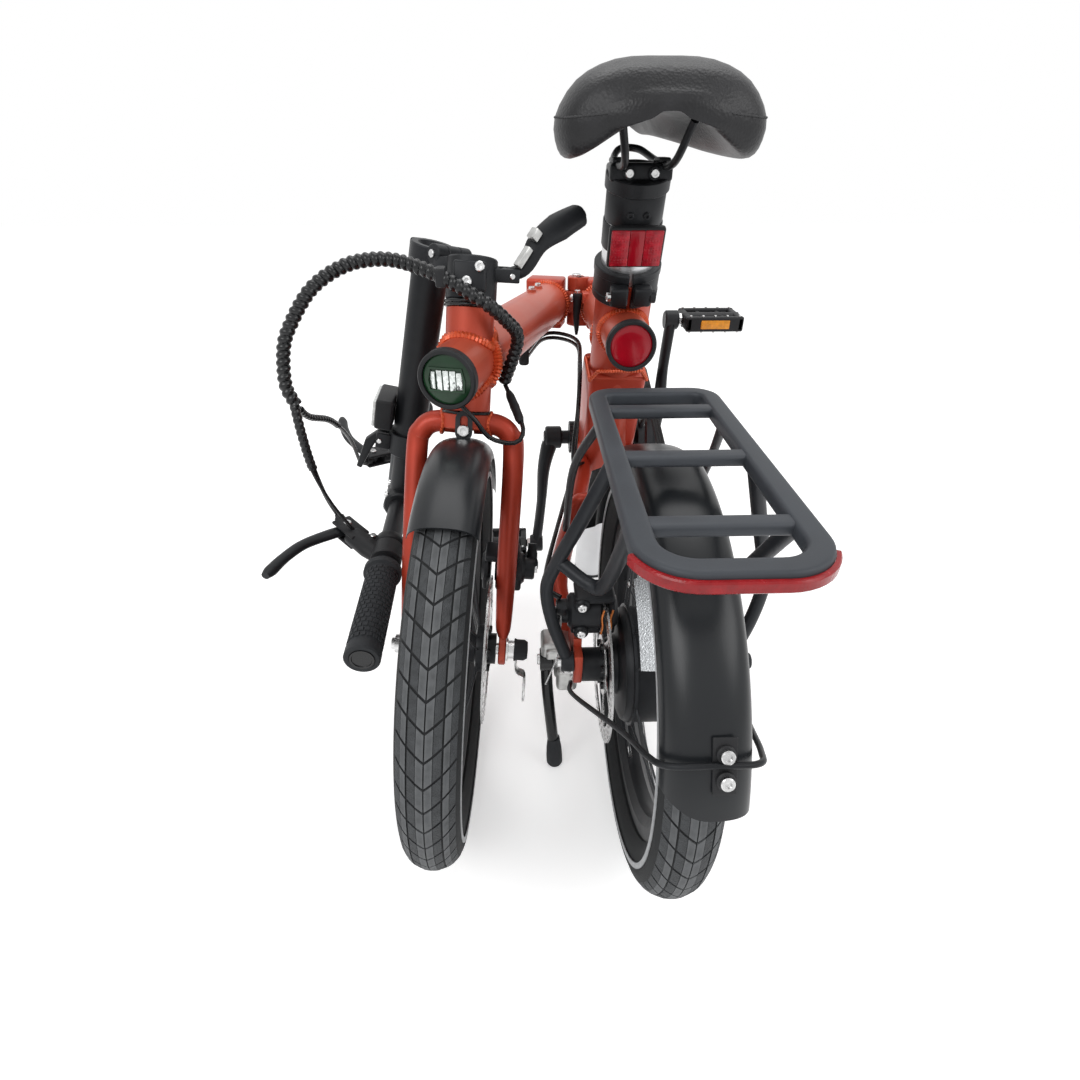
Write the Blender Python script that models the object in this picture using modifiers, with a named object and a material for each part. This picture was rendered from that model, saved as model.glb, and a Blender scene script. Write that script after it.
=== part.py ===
"""Electric folding bicycle, modelled in the folded state of the photo.

Each body is drawn as it stands when ridden, in the plane X = 0, and hangs on an empty that folds it.
X points to the right of the rear half, Y forwards, Z up. The origin is where the rear tyre meets the floor.
"""
import math

import bmesh
import bpy
from mathutils import Matrix, Vector

GAP = 0.0003

# Folded state, in degrees
FOLD_TURN = 165.6
STEER_TURN = 13.2
STEM_TURN = 160.28
STEM_AXIS = Vector((0.6726, 0.7217, 0.1637)).normalized()

# Wheels
TYRE_RADIUS = 0.2025
TYRE_WIDTH = 0.050
TREAD_WIDTH = 0.020
RIM_RADIUS = 0.157
RIM_WIDTH = 0.026
RIM_DEPTH = 0.019
WHEEL_STEPS = 32
SPOKES = 16
SPOKE_RADIUS = 0.0011
AXLE_RADIUS = 0.006
AXLE_HEIGHT = TYRE_RADIUS * math.cos(math.pi / WHEEL_STEPS)
ROTOR_RADIUS = 0.075
ROTOR_THICKNESS = 0.002

# Rear wheel and rear frame
MOTOR_RADIUS = 0.056
MOTOR_HALF_WIDTH = 0.029
REAR_ROTOR_X = -0.042
DROPOUT_X = 0.0635
DROPOUT_THICKNESS = 0.008
SEAT_LEAN = math.radians(18.1)
SEAT_FOOT_Y = 0.449
POST_RADIUS = 0.029
SEAT_TUBE_RADIUS = 0.0318
SEAT_TUBE_LOW = 0.195
SEAT_TUBE_HIGH = 0.540
POST_TOP = 0.628
BOX_HALF_WIDTH = 0.0345
BRACKET_Y = 0.419
BRACKET_Z = 0.262
SHELL_RADIUS = 0.0215
SHELL_HALF_WIDTH = 0.0365
CUP_RADIUS = 0.0235
CUP_X = 0.0475
CARTRIDGE_RADIUS = 0.0168
SPINDLE_RADIUS = 0.0085
LAMP_RADIUS = 0.0268
TAIL_LAMP_Y = 0.212
TAIL_LAMP_Z = 0.452

# Drive
CRANK_LENGTH = 0.165
CRANK_TILT = math.radians(16.0)
CRANK_BOSS_X = 0.072
BOSS_HALF = 0.0130
CRANK_END_X = 0.098
PEDAL_X = 0.1535
PEDAL_WIDTH = 0.080
PEDAL_DEPTH = 0.064
PEDAL_HEIGHT = 0.022
BELT_X = 0.0555
BELT_WIDTH = 0.010
BELT_THICKNESS = 0.0032
SPROCKET_RADIUS = 0.098
COG_RADIUS = 0.036

# Rack and mudguards
RACK_TOP = 0.4465
RACK_HEIGHT = 0.012
RACK_HALF_WIDTH = 0.058
RACK_BAR = 0.016
RACK_NEAR_Y = -0.190
RACK_FAR_Y = 0.100
RACK_CROSSBARS = (0.053, -0.040, -0.134)
REAR_GUARD_RADIUS = 0.2205
REAR_GUARD_HALF_WIDTH = 0.030
FRONT_GUARD_RADIUS = 0.2085
FRONT_GUARD_HALF_WIDTH = 0.0275
GUARD_THICKNESS = 0.0018

# Frame hinge and front half
PIN_X = -0.0358
PIN_Y = 0.509
PIN_RADIUS = 0.0045
KNUCKLE_RADIUS = 0.0125
TUBE_Z = 0.4385
TUBE_RADIUS = 0.029
HINGE_HALF_HEIGHT = 0.0335
HINGE_RIGHT_X = 0.031
HEAD_TILT = math.radians(18.0)
HEAD_Y = 0.896
HEAD_Z = 0.4595
HEAD_HALF_LENGTH = 0.0465
HEAD_RADIUS = 0.0225
STEERER_RADIUS = 0.0147
HEAD_LAMP_Y = 0.959
HEAD_LAMP_Z = 0.460
FRONT_AXLE_Y = 1.0125
FORK_HALF_WIDTH = 0.0475
FORK_RADIUS = 0.0105
FRONT_ROTOR_X = -0.0325
FRONT_HUB_HALF_WIDTH = 0.0415

# Stem, handlepost and bar
STEM_SPLIT_Z = 0.545
STEM_RADIUS = 0.0235
STEM_PIVOT = Vector((0.0225, 0.8502, 0.5424))
STEM_KNUCKLE_RADIUS = 0.0088
STEM_KNUCKLE_HALF = 0.021
STEM_TONGUE_HALF = 0.0075
STEM_PIN_RADIUS = 0.003
POST_TUBE_RADIUS = 0.018
INNER_TUBE_RADIUS = 0.0145
POST_TUBE_LENGTH = 0.225
REFLECTOR_FROM_END = 0.049
BAR_FROM_SPLIT = 0.288
BAR_HALF_LENGTH = 0.268
BAR_RADIUS = 0.0111
GRIP_RADIUS = 0.016
GRIP_LENGTH = 0.122
LEVER_FROM_END = 0.143
LEVER_X = BAR_HALF_LENGTH - LEVER_FROM_END

# Kickstand
STAND_X = -0.095
STAND_Y = 0.052
STAND_Z = 0.160

# Saddle
SADDLE_Z = 0.618
SADDLE_REAR_Y = 0.122
SADDLE_LENGTH = 0.262
SADDLE_HALF_WIDTH = 0.086

# Ribbed loom
LOOM_RADIUS = 0.0064
LOOM_GROOVE = 0.0054
LOOM_PITCH = 0.0072
CABLE_RADIUS = 0.0025

X = Vector((1, 0, 0))
Y = Vector((0, 1, 0))
Z = Vector((0, 0, 1))
HEAD_UP = Vector((0, -math.sin(HEAD_TILT), math.cos(HEAD_TILT)))
HEAD_FORWARD = Vector((0, math.cos(HEAD_TILT), math.sin(HEAD_TILT)))
HEAD_CENTRE = Vector((0, HEAD_Y, HEAD_Z))
SEAT_UP = Vector((0, -math.sin(SEAT_LEAN), math.cos(SEAT_LEAN)))
SEAT_BACK = Vector((0, -math.cos(SEAT_LEAN), -math.sin(SEAT_LEAN)))
REAR_AXLE = Vector((0, 0, AXLE_HEIGHT))
BRACKET = Vector((0, BRACKET_Y, BRACKET_Z))
PIN = Vector((PIN_X, PIN_Y, 0))

for old in list(bpy.data.objects):
    bpy.data.objects.remove(old, do_unlink=True)
parts = bpy.data.collections.new("folding_bicycle")
cutters = bpy.data.collections.new("cutters")
bpy.context.scene.collection.children.link(parts)
bpy.context.scene.collection.children.link(cutters)
helpers = {}
empties = {}
moves = {}
pivots = {}


def seat(along):
    """A point on the seat tube's axis, measured up it from the floor."""
    return Vector((0, SEAT_FOOT_Y, 0)) + SEAT_UP * along


def head(height):
    """The point of the steering axis at this height."""
    return HEAD_CENTRE + HEAD_UP * ((height - HEAD_Z) / HEAD_UP.z)


def material(name, colour, rough, metal=0.0):
    made = bpy.data.materials.new(name)
    made.use_nodes = True
    shader = made.node_tree.nodes["Principled BSDF"]
    shader.inputs["Base Color"].default_value = (*colour, 1.0)
    shader.inputs["Roughness"].default_value = rough
    shader.inputs["Metallic"].default_value = metal
    made.diffuse_color = (*colour, 1.0)
    return made


RED = material("red_paint", (0.50, 0.055, 0.025), 0.4)
BLACK = material("black_plastic", (0.022, 0.024, 0.026), 0.5)
BLACK_METAL = material("black_metal", (0.028, 0.030, 0.034), 0.4, 0.6)
SATIN = material("satin_grey", (0.075, 0.085, 0.10), 0.4, 0.7)
STEEL = material("steel", (0.55, 0.56, 0.57), 0.3, 1.0)
SILVER = material("silver_anodised", (0.45, 0.46, 0.48), 0.35, 1.0)
RUBBER = material("rubber", (0.03, 0.031, 0.033), 0.8)
TYRE = material("tyre", (0.05, 0.052, 0.055), 0.85)
RED_LENS = material("red_lens", (0.22, 0.002, 0.008), 0.2)
CLEAR_LENS = material("lamp_lens", (0.03, 0.055, 0.035), 0.15)
WHITE_LENS = material("white_reflector", (0.6, 0.6, 0.58), 0.3)
GREY = material("grey_plastic", (0.18, 0.19, 0.20), 0.5)
COVER = material("saddle_cover", (0.02, 0.02, 0.022), 0.6)


def add(mesh, name="piece"):
    obj = bpy.data.objects.new(name, mesh)
    parts.objects.link(obj)
    return obj


def from_bmesh(bm):
    bmesh.ops.recalc_face_normals(bm, faces=bm.faces)
    mesh = bpy.data.meshes.new("piece")
    bm.to_mesh(mesh)
    bm.free()
    return add(mesh)


def upright(direction):
    """The rotation that lays Z along this direction."""
    return Z.rotation_difference(direction).to_matrix().to_4x4()


def cylinder(start, end, radius, end_radius=None, sides=16):
    start, end = Vector(start), Vector(end)
    bm = bmesh.new()
    bmesh.ops.create_cone(
        bm, cap_ends=True, segments=sides, radius1=radius,
        radius2=radius if end_radius is None else end_radius, depth=(end - start).length,
        matrix=Matrix.Translation((start + end) / 2) @ upright(end - start))
    return from_bmesh(bm)


def block(centre, size, turn=None, bevel=0.0):
    bm = bmesh.new()
    where = Matrix.Translation(centre) @ (turn or Matrix())
    bmesh.ops.create_cube(bm, size=1.0, matrix=where @ Matrix.Diagonal((*size, 1.0)))
    obj = from_bmesh(bm)
    if bevel:
        edge = obj.modifiers.new("edge", "BEVEL")
        edge.width = bevel
        edge.segments = 1
        edge.limit_method = "ANGLE"
    return obj


def box(low, high, bevel=0.0):
    low, high = Vector(low), Vector(high)
    return block((low + high) / 2, high - low, None, bevel)


def slab(outline, low, high, axis="X"):
    """A flat outline drawn out from low to high along an axis."""
    def at(pair, height):
        if axis == "X":
            return (height, pair[0], pair[1])
        if axis == "Y":
            return (pair[0], height, pair[1])
        return (pair[0], pair[1], height)

    bm = bmesh.new()
    below = [bm.verts.new(at(pair, low)) for pair in outline]
    above = [bm.verts.new(at(pair, high)) for pair in outline]
    bm.faces.new(below)
    bm.faces.new(list(reversed(above)))
    for i, first in enumerate(below):
        j = (i + 1) % len(below)
        bm.faces.new((first, above[i], above[j], below[j]))
    return from_bmesh(bm)


def curve_mesh(curve):
    """The evaluated curve as a mesh object, welded; the curve is removed."""
    obj = bpy.data.objects.new("piece", curve)
    parts.objects.link(obj)
    bpy.context.view_layer.update()
    graph = bpy.context.evaluated_depsgraph_get()
    mesh = bpy.data.meshes.new_from_object(obj.evaluated_get(graph))
    bpy.data.objects.remove(obj, do_unlink=True)
    bm = bmesh.new()
    bm.from_mesh(mesh)
    bmesh.ops.remove_doubles(bm, verts=bm.verts, dist=1e-6)
    bpy.data.meshes.remove(mesh)
    return from_bmesh(bm)


def pipe(points, radius, resolution=2, radii=None):
    """A tube with closed ends along the points; radii scale it point by point."""
    curve = bpy.data.curves.new("piece", "CURVE")
    curve.dimensions = "3D"
    curve.bevel_depth = radius
    curve.bevel_resolution = resolution
    curve.use_fill_caps = True
    spline = curve.splines.new("POLY")
    spline.points.add(len(points) - 1)
    for i, point in enumerate(points):
        spline.points[i].co = (*point, 1.0)
        spline.points[i].radius = radii[i] if radii else 1.0
    return curve_mesh(curve)


def plate(outlines, thickness):
    """A flat plate in XY from outlines, the first one its edge and the others its holes."""
    curve = bpy.data.curves.new("piece", "CURVE")
    curve.dimensions = "2D"
    curve.fill_mode = "BOTH"
    curve.extrude = thickness / 2
    for outline in outlines:
        spline = curve.splines.new("POLY")
        spline.points.add(len(outline) - 1)
        for i, pair in enumerate(outline):
            spline.points[i].co = (pair[0], pair[1], 0.0, 1.0)
        spline.use_cyclic_u = True
    return curve_mesh(curve)


def turned(profile, centre, axis, steps=20, start=0.0, closed=True):
    """A profile of (radius, height) pairs turned about an axis; its outer side runs from high to low."""
    mesh = bpy.data.meshes.new("piece")
    count = len(profile)
    edges = [(i, (i + 1) % count) for i in range(count if closed else count - 1)]
    mesh.from_pydata([(r, 0.0, h) for r, h in profile], edges, [])
    obj = add(mesh)
    screw = obj.modifiers.new("turn", "SCREW")
    screw.steps = steps
    screw.render_steps = steps
    screw.use_merge_vertices = True
    screw.merge_threshold = 1e-5
    screw.use_smooth_shade = False
    obj.matrix_basis = Matrix.Translation(centre) @ upright(Vector(axis)) @ Matrix.Rotation(start, 4, "Z")
    return obj


def smooth(points, steps):
    """A Catmull-Rom curve through the points, with this many steps between each two."""
    points = [Vector(p) for p in points]
    ends = [2 * points[0] - points[1]] + points + [2 * points[-1] - points[-2]]
    found = []
    for i in range(1, len(ends) - 2):
        a, b, c, d = ends[i - 1:i + 3]
        for k in range(steps):
            t = k / steps
            found.append(0.5 * (2 * b + (c - a) * t + (2 * a - 5 * b + 4 * c - d) * t * t
                                + (3 * b - a - 3 * c + d) * t ** 3))
    return found + [points[-1]]


def evenly(points, spacing):
    """The path through the points as points this far apart, with the exact ends."""
    lengths = [0.0]
    for a, b in zip(points, points[1:]):
        lengths.append(lengths[-1] + (b - a).length)
    count = max(2, round(lengths[-1] / spacing))
    found = []
    i = 0
    for k in range(count + 1):
        along = lengths[-1] * k / count
        while i < len(points) - 2 and lengths[i + 1] < along:
            i += 1
        part = (along - lengths[i]) / (lengths[i + 1] - lengths[i])
        found.append(points[i].lerp(points[i + 1], min(1.0, part)))
    return found


def boolean(obj, other, operation):
    step = obj.modifiers.new(operation.lower(), "BOOLEAN")
    step.operation = operation
    step.solver = "EXACT"
    step.object = other
    parts.objects.unlink(other)
    cutters.objects.link(other)
    other.hide_render = True
    other.display_type = "WIRE"
    helpers.setdefault(obj, []).append(other)


def weld(obj, *others):
    for other in others:
        boolean(obj, other, "UNION")
    return obj


def carve(obj, *others):
    for other in others:
        boolean(obj, other, "DIFFERENCE")
    return obj


def body(name, parent=None, pivot=(0, 0, 0), axis=Z, degrees=0.0):
    """An empty on a joint's axis, turned to the folded state."""
    pivot = Vector(pivot)
    turn = Matrix.Rotation(math.radians(degrees), 4, axis)
    before = moves[parent] if parent else Matrix()
    moves[name] = before @ Matrix.Translation(pivot) @ turn @ Matrix.Translation(-pivot)
    pivots[name] = pivot
    empty = bpy.data.objects.new("axis_" + name, None)
    empty.empty_display_size = 0.02
    parts.objects.link(empty)
    world = moves[name] @ Matrix.Translation(pivot)
    if parent:
        empty.parent = empties[parent]
        empty.matrix_basis = (moves[parent] @ Matrix.Translation(pivots[parent])).inverted() @ world
    else:
        empty.matrix_basis = world
    empties[name] = empty


def hang(obj, owner, folded):
    obj.parent = empties[owner]
    if folded:
        obj.matrix_parent_inverse = (moves[owner] @ Matrix.Translation(pivots[owner])).inverted()
    else:
        obj.matrix_parent_inverse = Matrix.Translation(-pivots[owner])
    for helper in helpers.get(obj, []):
        hang(helper, owner, folded)


def finish(obj, name, finish_material, owner, folded=False):
    """Names a piece and hangs it on its body; folded pieces are drawn where the photo shows them."""
    obj.name = name
    obj.data.name = name
    obj.data.materials.clear()
    obj.data.materials.append(finish_material)
    hang(obj, owner, folded)
    return obj


def around(radius, count, start=0.0, centre=(0.0, 0.0)):
    return [(centre[0] + radius * math.cos(start + 2 * math.pi * i / count),
             centre[1] + radius * math.sin(start + 2 * math.pi * i / count)) for i in range(count)]


def arc(centre, radius, first, last, count):
    """Points on an arc, angles in degrees."""
    angles = [math.radians(first + (last - first) * i / (count - 1)) for i in range(count)]
    return [(centre[0] + radius * math.cos(a), centre[1] + radius * math.sin(a)) for a in angles]


# Tyre section as (radius, height along the axle), outer side first
HALF_TYRE = TYRE_WIDTH / 2
TYRE_SECTION = [
    (TYRE_RADIUS - 0.036, HALF_TYRE * 0.86), (TYRE_RADIUS - 0.022, HALF_TYRE),
    (TYRE_RADIUS - 0.0075, HALF_TYRE * 0.80), (TYRE_RADIUS, TREAD_WIDTH / 2),
    (TYRE_RADIUS, -TREAD_WIDTH / 2), (TYRE_RADIUS - 0.0075, -HALF_TYRE * 0.80),
    (TYRE_RADIUS - 0.022, -HALF_TYRE), (TYRE_RADIUS - 0.036, -HALF_TYRE * 0.86),
    (RIM_RADIUS + GAP, -RIM_WIDTH / 2), (RIM_RADIUS + GAP, RIM_WIDTH / 2)]

# Bodies: the rear half stands still, and each other one hangs on its joint
SEAT_PIVOT = seat(SEAT_TUBE_HIGH)
STAND_PIVOT = Vector((STAND_X, STAND_Y, STAND_Z))
CRANK_ARM = Vector((0, math.sin(CRANK_TILT), math.cos(CRANK_TILT))) * CRANK_LENGTH
RIGHT_PEDAL = BRACKET + CRANK_ARM
LEFT_PEDAL = BRACKET - CRANK_ARM
LATCH_PIVOT = Vector((PIN_X - 0.0025, PIN_Y - 0.046, TUBE_Z + 0.013))
body("rear_half")
body("seatpost", "rear_half", SEAT_PIVOT)
body("kickstand", "rear_half", STAND_PIVOT)
body("crankset", "rear_half", BRACKET)
body("pedal_right", "crankset", RIGHT_PEDAL)
body("pedal_left", "crankset", LEFT_PEDAL)
body("rear_cog", "rear_half", REAR_AXLE)
body("rear_wheel", "rear_half", REAR_AXLE)
body("frame_latch", "rear_half", LATCH_PIVOT)
body("front_half", "rear_half", PIN, Z, FOLD_TURN)
body("fork", "front_half", HEAD_CENTRE, HEAD_UP, STEER_TURN)


def lowest(axle):
    """Height of the front tyre's lowest corner in the folded state, for this axle."""
    corners = []
    for i in range(WHEEL_STEPS):
        angle = 2 * math.pi * (i + 0.5) / WHEEL_STEPS
        for radius, side in TYRE_SECTION[:8]:
            spoke = Vector((side, radius * math.sin(angle), -radius * math.cos(angle)))
            corners.append((moves["fork"] @ (axle + spoke)).z)
    return min(corners)


FRONT_AXLE = Vector((0, FRONT_AXLE_Y, AXLE_HEIGHT))
for _ in range(3):
    FRONT_AXLE.z -= lowest(FRONT_AXLE)
body("front_wheel", "fork", FRONT_AXLE)
STEM_TOP = head(STEM_SPLIT_Z)
body("handlepost", "fork", STEM_PIVOT, STEM_AXIS, STEM_TURN)
BAR_CENTRE = STEM_TOP + HEAD_UP * BAR_FROM_SPLIT
body("handlebar", "handlepost", BAR_CENTRE)
LEVER_FORWARD = 0.048
LEVER_INWARD = 0.040
RIGHT_LEVER = BAR_CENTRE + X * (LEVER_X - LEVER_INWARD) + HEAD_FORWARD * LEVER_FORWARD
LEFT_LEVER = BAR_CENTRE - X * (LEVER_X - LEVER_INWARD) + HEAD_FORWARD * LEVER_FORWARD
body("brake_lever_right", "handlebar", RIGHT_LEVER)
body("brake_lever_left", "handlebar", LEFT_LEVER)
BAR_CLAMP = STEM_TOP + HEAD_UP * (POST_TUBE_LENGTH - 0.012) + HEAD_FORWARD * 0.031
body("bar_clamp", "handlepost", BAR_CLAMP)
STEM_LEVER_PIVOT = Vector((-0.1285, 0.168, 0.531))
STEM_LEVER_AXIS = Vector((0.461, -0.887, 0.0)).normalized()
LUG_CLEAR = 0.0080
stem_lever_here = moves["fork"].inverted() @ STEM_LEVER_PIVOT
body("stem_lever", "fork", stem_lever_here)


def wheel(prefix, owner, centre, hub_profile, flange, flange_x, rotor_x, rotor_bore):
    """Tyre, rim, hub with spokes and brake rotor of one wheel, turned about X."""
    half_step = math.pi / WHEEL_STEPS
    tyre = turned(TYRE_SECTION, centre, X, WHEEL_STEPS, half_step)
    finish(tyre, prefix + "_tyre", TYRE, owner)
    half = RIM_WIDTH / 2
    rim = turned([(RIM_RADIUS, half), (RIM_RADIUS, -half), (RIM_RADIUS - 0.010, -half),
                  (RIM_RADIUS - RIM_DEPTH, -half * 0.45), (RIM_RADIUS - RIM_DEPTH, half * 0.45),
                  (RIM_RADIUS - 0.010, half)], centre, X, WHEEL_STEPS, half_step)
    finish(rim, prefix + "_rim", BLACK_METAL, owner)
    hub = turned(hub_profile, centre, X, 24)
    reach = (RIM_RADIUS - RIM_DEPTH) * math.cos(math.pi / WHEEL_STEPS) - GAP
    lacing = bmesh.new()
    for i in range(SPOKES):
        side = 1 if i % 2 else -1
        lean = 0.35 if (i // 2) % 2 else -0.35
        angle = 2 * math.pi * i / SPOKES
        low = Vector((side * flange_x, (flange - 0.005) * math.cos(angle),
                      (flange - 0.005) * math.sin(angle)))
        turn = angle + lean * 0.5
        high = Vector((side * half * 0.2, reach * math.cos(turn), reach * math.sin(turn)))
        bmesh.ops.create_cone(
            lacing, cap_ends=True, segments=4, radius1=SPOKE_RADIUS, radius2=SPOKE_RADIUS,
            depth=(high - low).length,
            matrix=Matrix.Translation(centre + (low + high) / 2) @ upright(high - low))
    weld(hub, from_bmesh(lacing))
    finish(hub, prefix + "_hub", BLACK_METAL, owner)
    windows = []
    arms = 5
    for i in range(arms):
        first = 360.0 * i / arms + 8
        last = 360.0 * (i + 1) / arms - 8
        windows.append(arc((0, 0), ROTOR_RADIUS - 0.015, first, last, 6) + arc((0, 0), 0.031, last, first, 3))
    rotor = plate([around(ROTOR_RADIUS, 30), around(rotor_bore, 16)] + windows, ROTOR_THICKNESS)
    rotor.matrix_basis = Matrix.Translation(centre + X * rotor_x) @ upright(X)
    finish(rotor, prefix + "_rotor", STEEL, owner)


# Rear wheel with its hub motor
BOSS_RADIUS = 0.0165
HUB_END = DROPOUT_X - GAP
ROTOR_SEAT = REAR_ROTOR_X + ROTOR_THICKNESS / 2 + GAP
REAR_HUB = [
    (AXLE_RADIUS + GAP, HUB_END), (0.012, HUB_END), (0.012, MOTOR_HALF_WIDTH + 0.004),
    (MOTOR_RADIUS - 0.008, MOTOR_HALF_WIDTH), (MOTOR_RADIUS, MOTOR_HALF_WIDTH - 0.006),
    (MOTOR_RADIUS, 0.006 - MOTOR_HALF_WIDTH), (MOTOR_RADIUS - 0.008, -MOTOR_HALF_WIDTH),
    (0.030, -MOTOR_HALF_WIDTH - 0.001),
    (0.024, ROTOR_SEAT), (BOSS_RADIUS, ROTOR_SEAT), (BOSS_RADIUS, -HUB_END), (AXLE_RADIUS + GAP, -HUB_END)]
wheel("rear", "rear_wheel", REAR_AXLE, REAR_HUB, MOTOR_RADIUS, MOTOR_HALF_WIDTH - 0.010, REAR_ROTOR_X,
      BOSS_RADIUS + GAP)

# Rear axle with its nuts and the cable guard on the right
NUT_X = DROPOUT_X + DROPOUT_THICKNESS + GAP
rear_axle = turned([
    (0.0, 0.104), (0.007, 0.104), (0.0105, 0.099), (0.0105, NUT_X), (AXLE_RADIUS, NUT_X),
    (AXLE_RADIUS, -NUT_X), (0.0098, -NUT_X), (0.0098, -NUT_X - 0.008), (0.005, -NUT_X - 0.012),
    (0.0, -NUT_X - 0.012)], REAR_AXLE, X, 12, closed=False)
finish(rear_axle, "rear_axle", BLACK_METAL, "rear_half")

# Freewheel cog on the hub's right boss
COG_LOW = BELT_X - BELT_WIDTH / 2 - 0.001
COG_HIGH = BELT_X + BELT_WIDTH / 2 + 0.001
cog = turned([(0.0123, COG_HIGH), (COG_RADIUS, COG_HIGH), (COG_RADIUS, COG_LOW), (0.0123, COG_LOW)],
             REAR_AXLE, X, 28)
finish(cog, "rear_cog", STEEL, "rear_cog")

# Belt round the two pulleys
belt_rear_radius = COG_RADIUS + GAP * 2
front_radius = SPROCKET_RADIUS + GAP * 2
span = BRACKET - REAR_AXLE
slope = math.degrees(math.atan2(span.z, span.y))
wrap = math.degrees(math.asin((front_radius - belt_rear_radius) / math.hypot(span.y, span.z)))


def belt_outline(extra):
    front = arc((BRACKET.y, BRACKET.z), front_radius + extra, slope - 90 - wrap, slope + 90 + wrap, 18)
    rear = arc((REAR_AXLE.y, REAR_AXLE.z), belt_rear_radius + extra, slope + 90 + wrap,
               slope + 270 - wrap, 12)
    return front + rear


belt = slab(belt_outline(BELT_THICKNESS), BELT_X - BELT_WIDTH / 2, BELT_X + BELT_WIDTH / 2)
carve(belt, slab(belt_outline(0.0), BELT_X - BELT_WIDTH, BELT_X + BELT_WIDTH))
finish(belt, "drive_belt", RUBBER, "rear_half")

# Rear frame
frame = cylinder(seat(SEAT_TUBE_LOW), seat(SEAT_TUBE_HIGH), SEAT_TUBE_RADIUS, sides=20)
BOX_SIDE = [(0.285, 0.396), (0.328, 0.296), (0.336, 0.282), (0.352, 0.272), (0.398, 0.236), (0.434, 0.236),
            (0.447, 0.254), (0.440, 0.300), (0.372, 0.402)]
weld(frame, slab(BOX_SIDE, -BOX_HALF_WIDTH, BOX_HALF_WIDTH))
weld(frame, cylinder(BRACKET - X * SHELL_HALF_WIDTH, BRACKET + X * SHELL_HALF_WIDTH, SHELL_RADIUS, sides=20))
stub_start = Vector((0, SEAT_FOOT_Y - TUBE_Z * math.tan(SEAT_LEAN), TUBE_Z))
weld(frame, cylinder(stub_start, (0, PIN_Y - 0.030, TUBE_Z), TUBE_RADIUS, sides=20))
HINGE_LOW = TUBE_Z - HINGE_HALF_HEIGHT
HINGE_HIGH = TUBE_Z + HINGE_HALF_HEIGHT
HINGE_LEFT_X = PIN_X + KNUCKLE_RADIUS + 0.002
weld(frame, box((HINGE_LEFT_X, PIN_Y - 0.034, HINGE_LOW), (HINGE_RIGHT_X, PIN_Y - GAP, HINGE_HIGH), 0.003))
TONGUE = HINGE_HALF_HEIGHT * 0.45
for low, high in ((HINGE_LOW, TUBE_Z - TONGUE), (TUBE_Z + TONGUE, HINGE_HIGH)):
    weld(frame, cylinder(PIN + Z * low, PIN + Z * high, KNUCKLE_RADIUS, sides=20))
    weld(frame, box((PIN_X, PIN_Y - KNUCKLE_RADIUS, low), (HINGE_LEFT_X + 0.004, PIN_Y - GAP, high)))
LUG_X = LATCH_PIVOT.x + 0.0075
weld(frame, box((LUG_X, LATCH_PIVOT.y - 0.007, LATCH_PIVOT.z - 0.007),
                (LUG_X + 0.014, PIN_Y - 0.030, LATCH_PIVOT.z + 0.007), 0.002))
tail = Vector((0, TAIL_LAMP_Y, TAIL_LAMP_Z))
LENS_DEPTH = 0.009
tail_start = Vector((0, SEAT_FOOT_Y - TAIL_LAMP_Z * math.tan(SEAT_LEAN), TAIL_LAMP_Z))
weld(frame, cylinder(tail_start, tail + Y * LENS_DEPTH, LAMP_RADIUS - 0.001, sides=20))
STAY_TUBE = 0.0112
for side in (-1, 1):
    stay = smooth([(side * 0.030, 0.375, 0.262), (side * 0.042, 0.290, 0.241), (side * 0.079, 0.125, 0.216),
                   (side * 0.0705, 0.054, 0.208)], 3)
    weld(frame, pipe(stay, STAY_TUBE, 2))
    weld(frame, cylinder(REAR_AXLE + X * side * DROPOUT_X,
                         REAR_AXLE + X * side * (DROPOUT_X + DROPOUT_THICKNESS), 0.0185, sides=16))
    ends = sorted((side * DROPOUT_X, side * (DROPOUT_X + DROPOUT_THICKNESS)))
    weld(frame, box((ends[0], 0.004, AXLE_HEIGHT - 0.010), (ends[1], 0.066, AXLE_HEIGHT + 0.014)))
    weld(frame, box((ends[0], -0.0205, AXLE_HEIGHT + 0.004), (ends[1], 0.006, AXLE_HEIGHT + 0.028)))
BRIDGE_RADIUS = 0.008
bridge_out = REAR_GUARD_RADIUS + GUARD_THICKNESS + BRIDGE_RADIUS - 0.0004
bridge_y = bridge_out * math.cos(math.radians(16))
bridge_z = AXLE_HEIGHT + bridge_out * math.sin(math.radians(16))
bridge = smooth([(-0.058, bridge_y, 0.229), (-0.052, bridge_y, bridge_z - 0.006),
                 (-0.036, bridge_y, bridge_z),
                 (0.036, bridge_y, bridge_z), (0.052, bridge_y, bridge_z - 0.006),
                 (0.058, bridge_y, 0.229)], 1)
weld(frame, pipe(bridge, BRIDGE_RADIUS, 2))
weld(frame, box((-DROPOUT_X - DROPOUT_THICKNESS, -0.004, AXLE_HEIGHT), (-DROPOUT_X, 0.030, 0.2375)))
carve(frame, cylinder(seat(SEAT_TUBE_LOW - 0.03), seat(SEAT_TUBE_HIGH + 0.03), POST_RADIUS + 0.0006,
                      sides=20))
carve(frame, cylinder(BRACKET - X * 0.06, BRACKET + X * 0.06, CARTRIDGE_RADIUS + 0.0009, sides=16))
carve(frame, cylinder(REAR_AXLE - X * 0.09, REAR_AXLE + X * 0.09, AXLE_RADIUS + GAP, sides=12))
weld(frame, cylinder(PIN + Z * (HINGE_LOW - 0.003), PIN + Z * (HINGE_HIGH + 0.003), PIN_RADIUS, sides=12))
carve(frame, cylinder(LATCH_PIVOT, LATCH_PIVOT + X * 0.018, 0.0030 + GAP, sides=10))
finish(frame, "rear_frame", RED, "rear_half")

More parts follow.
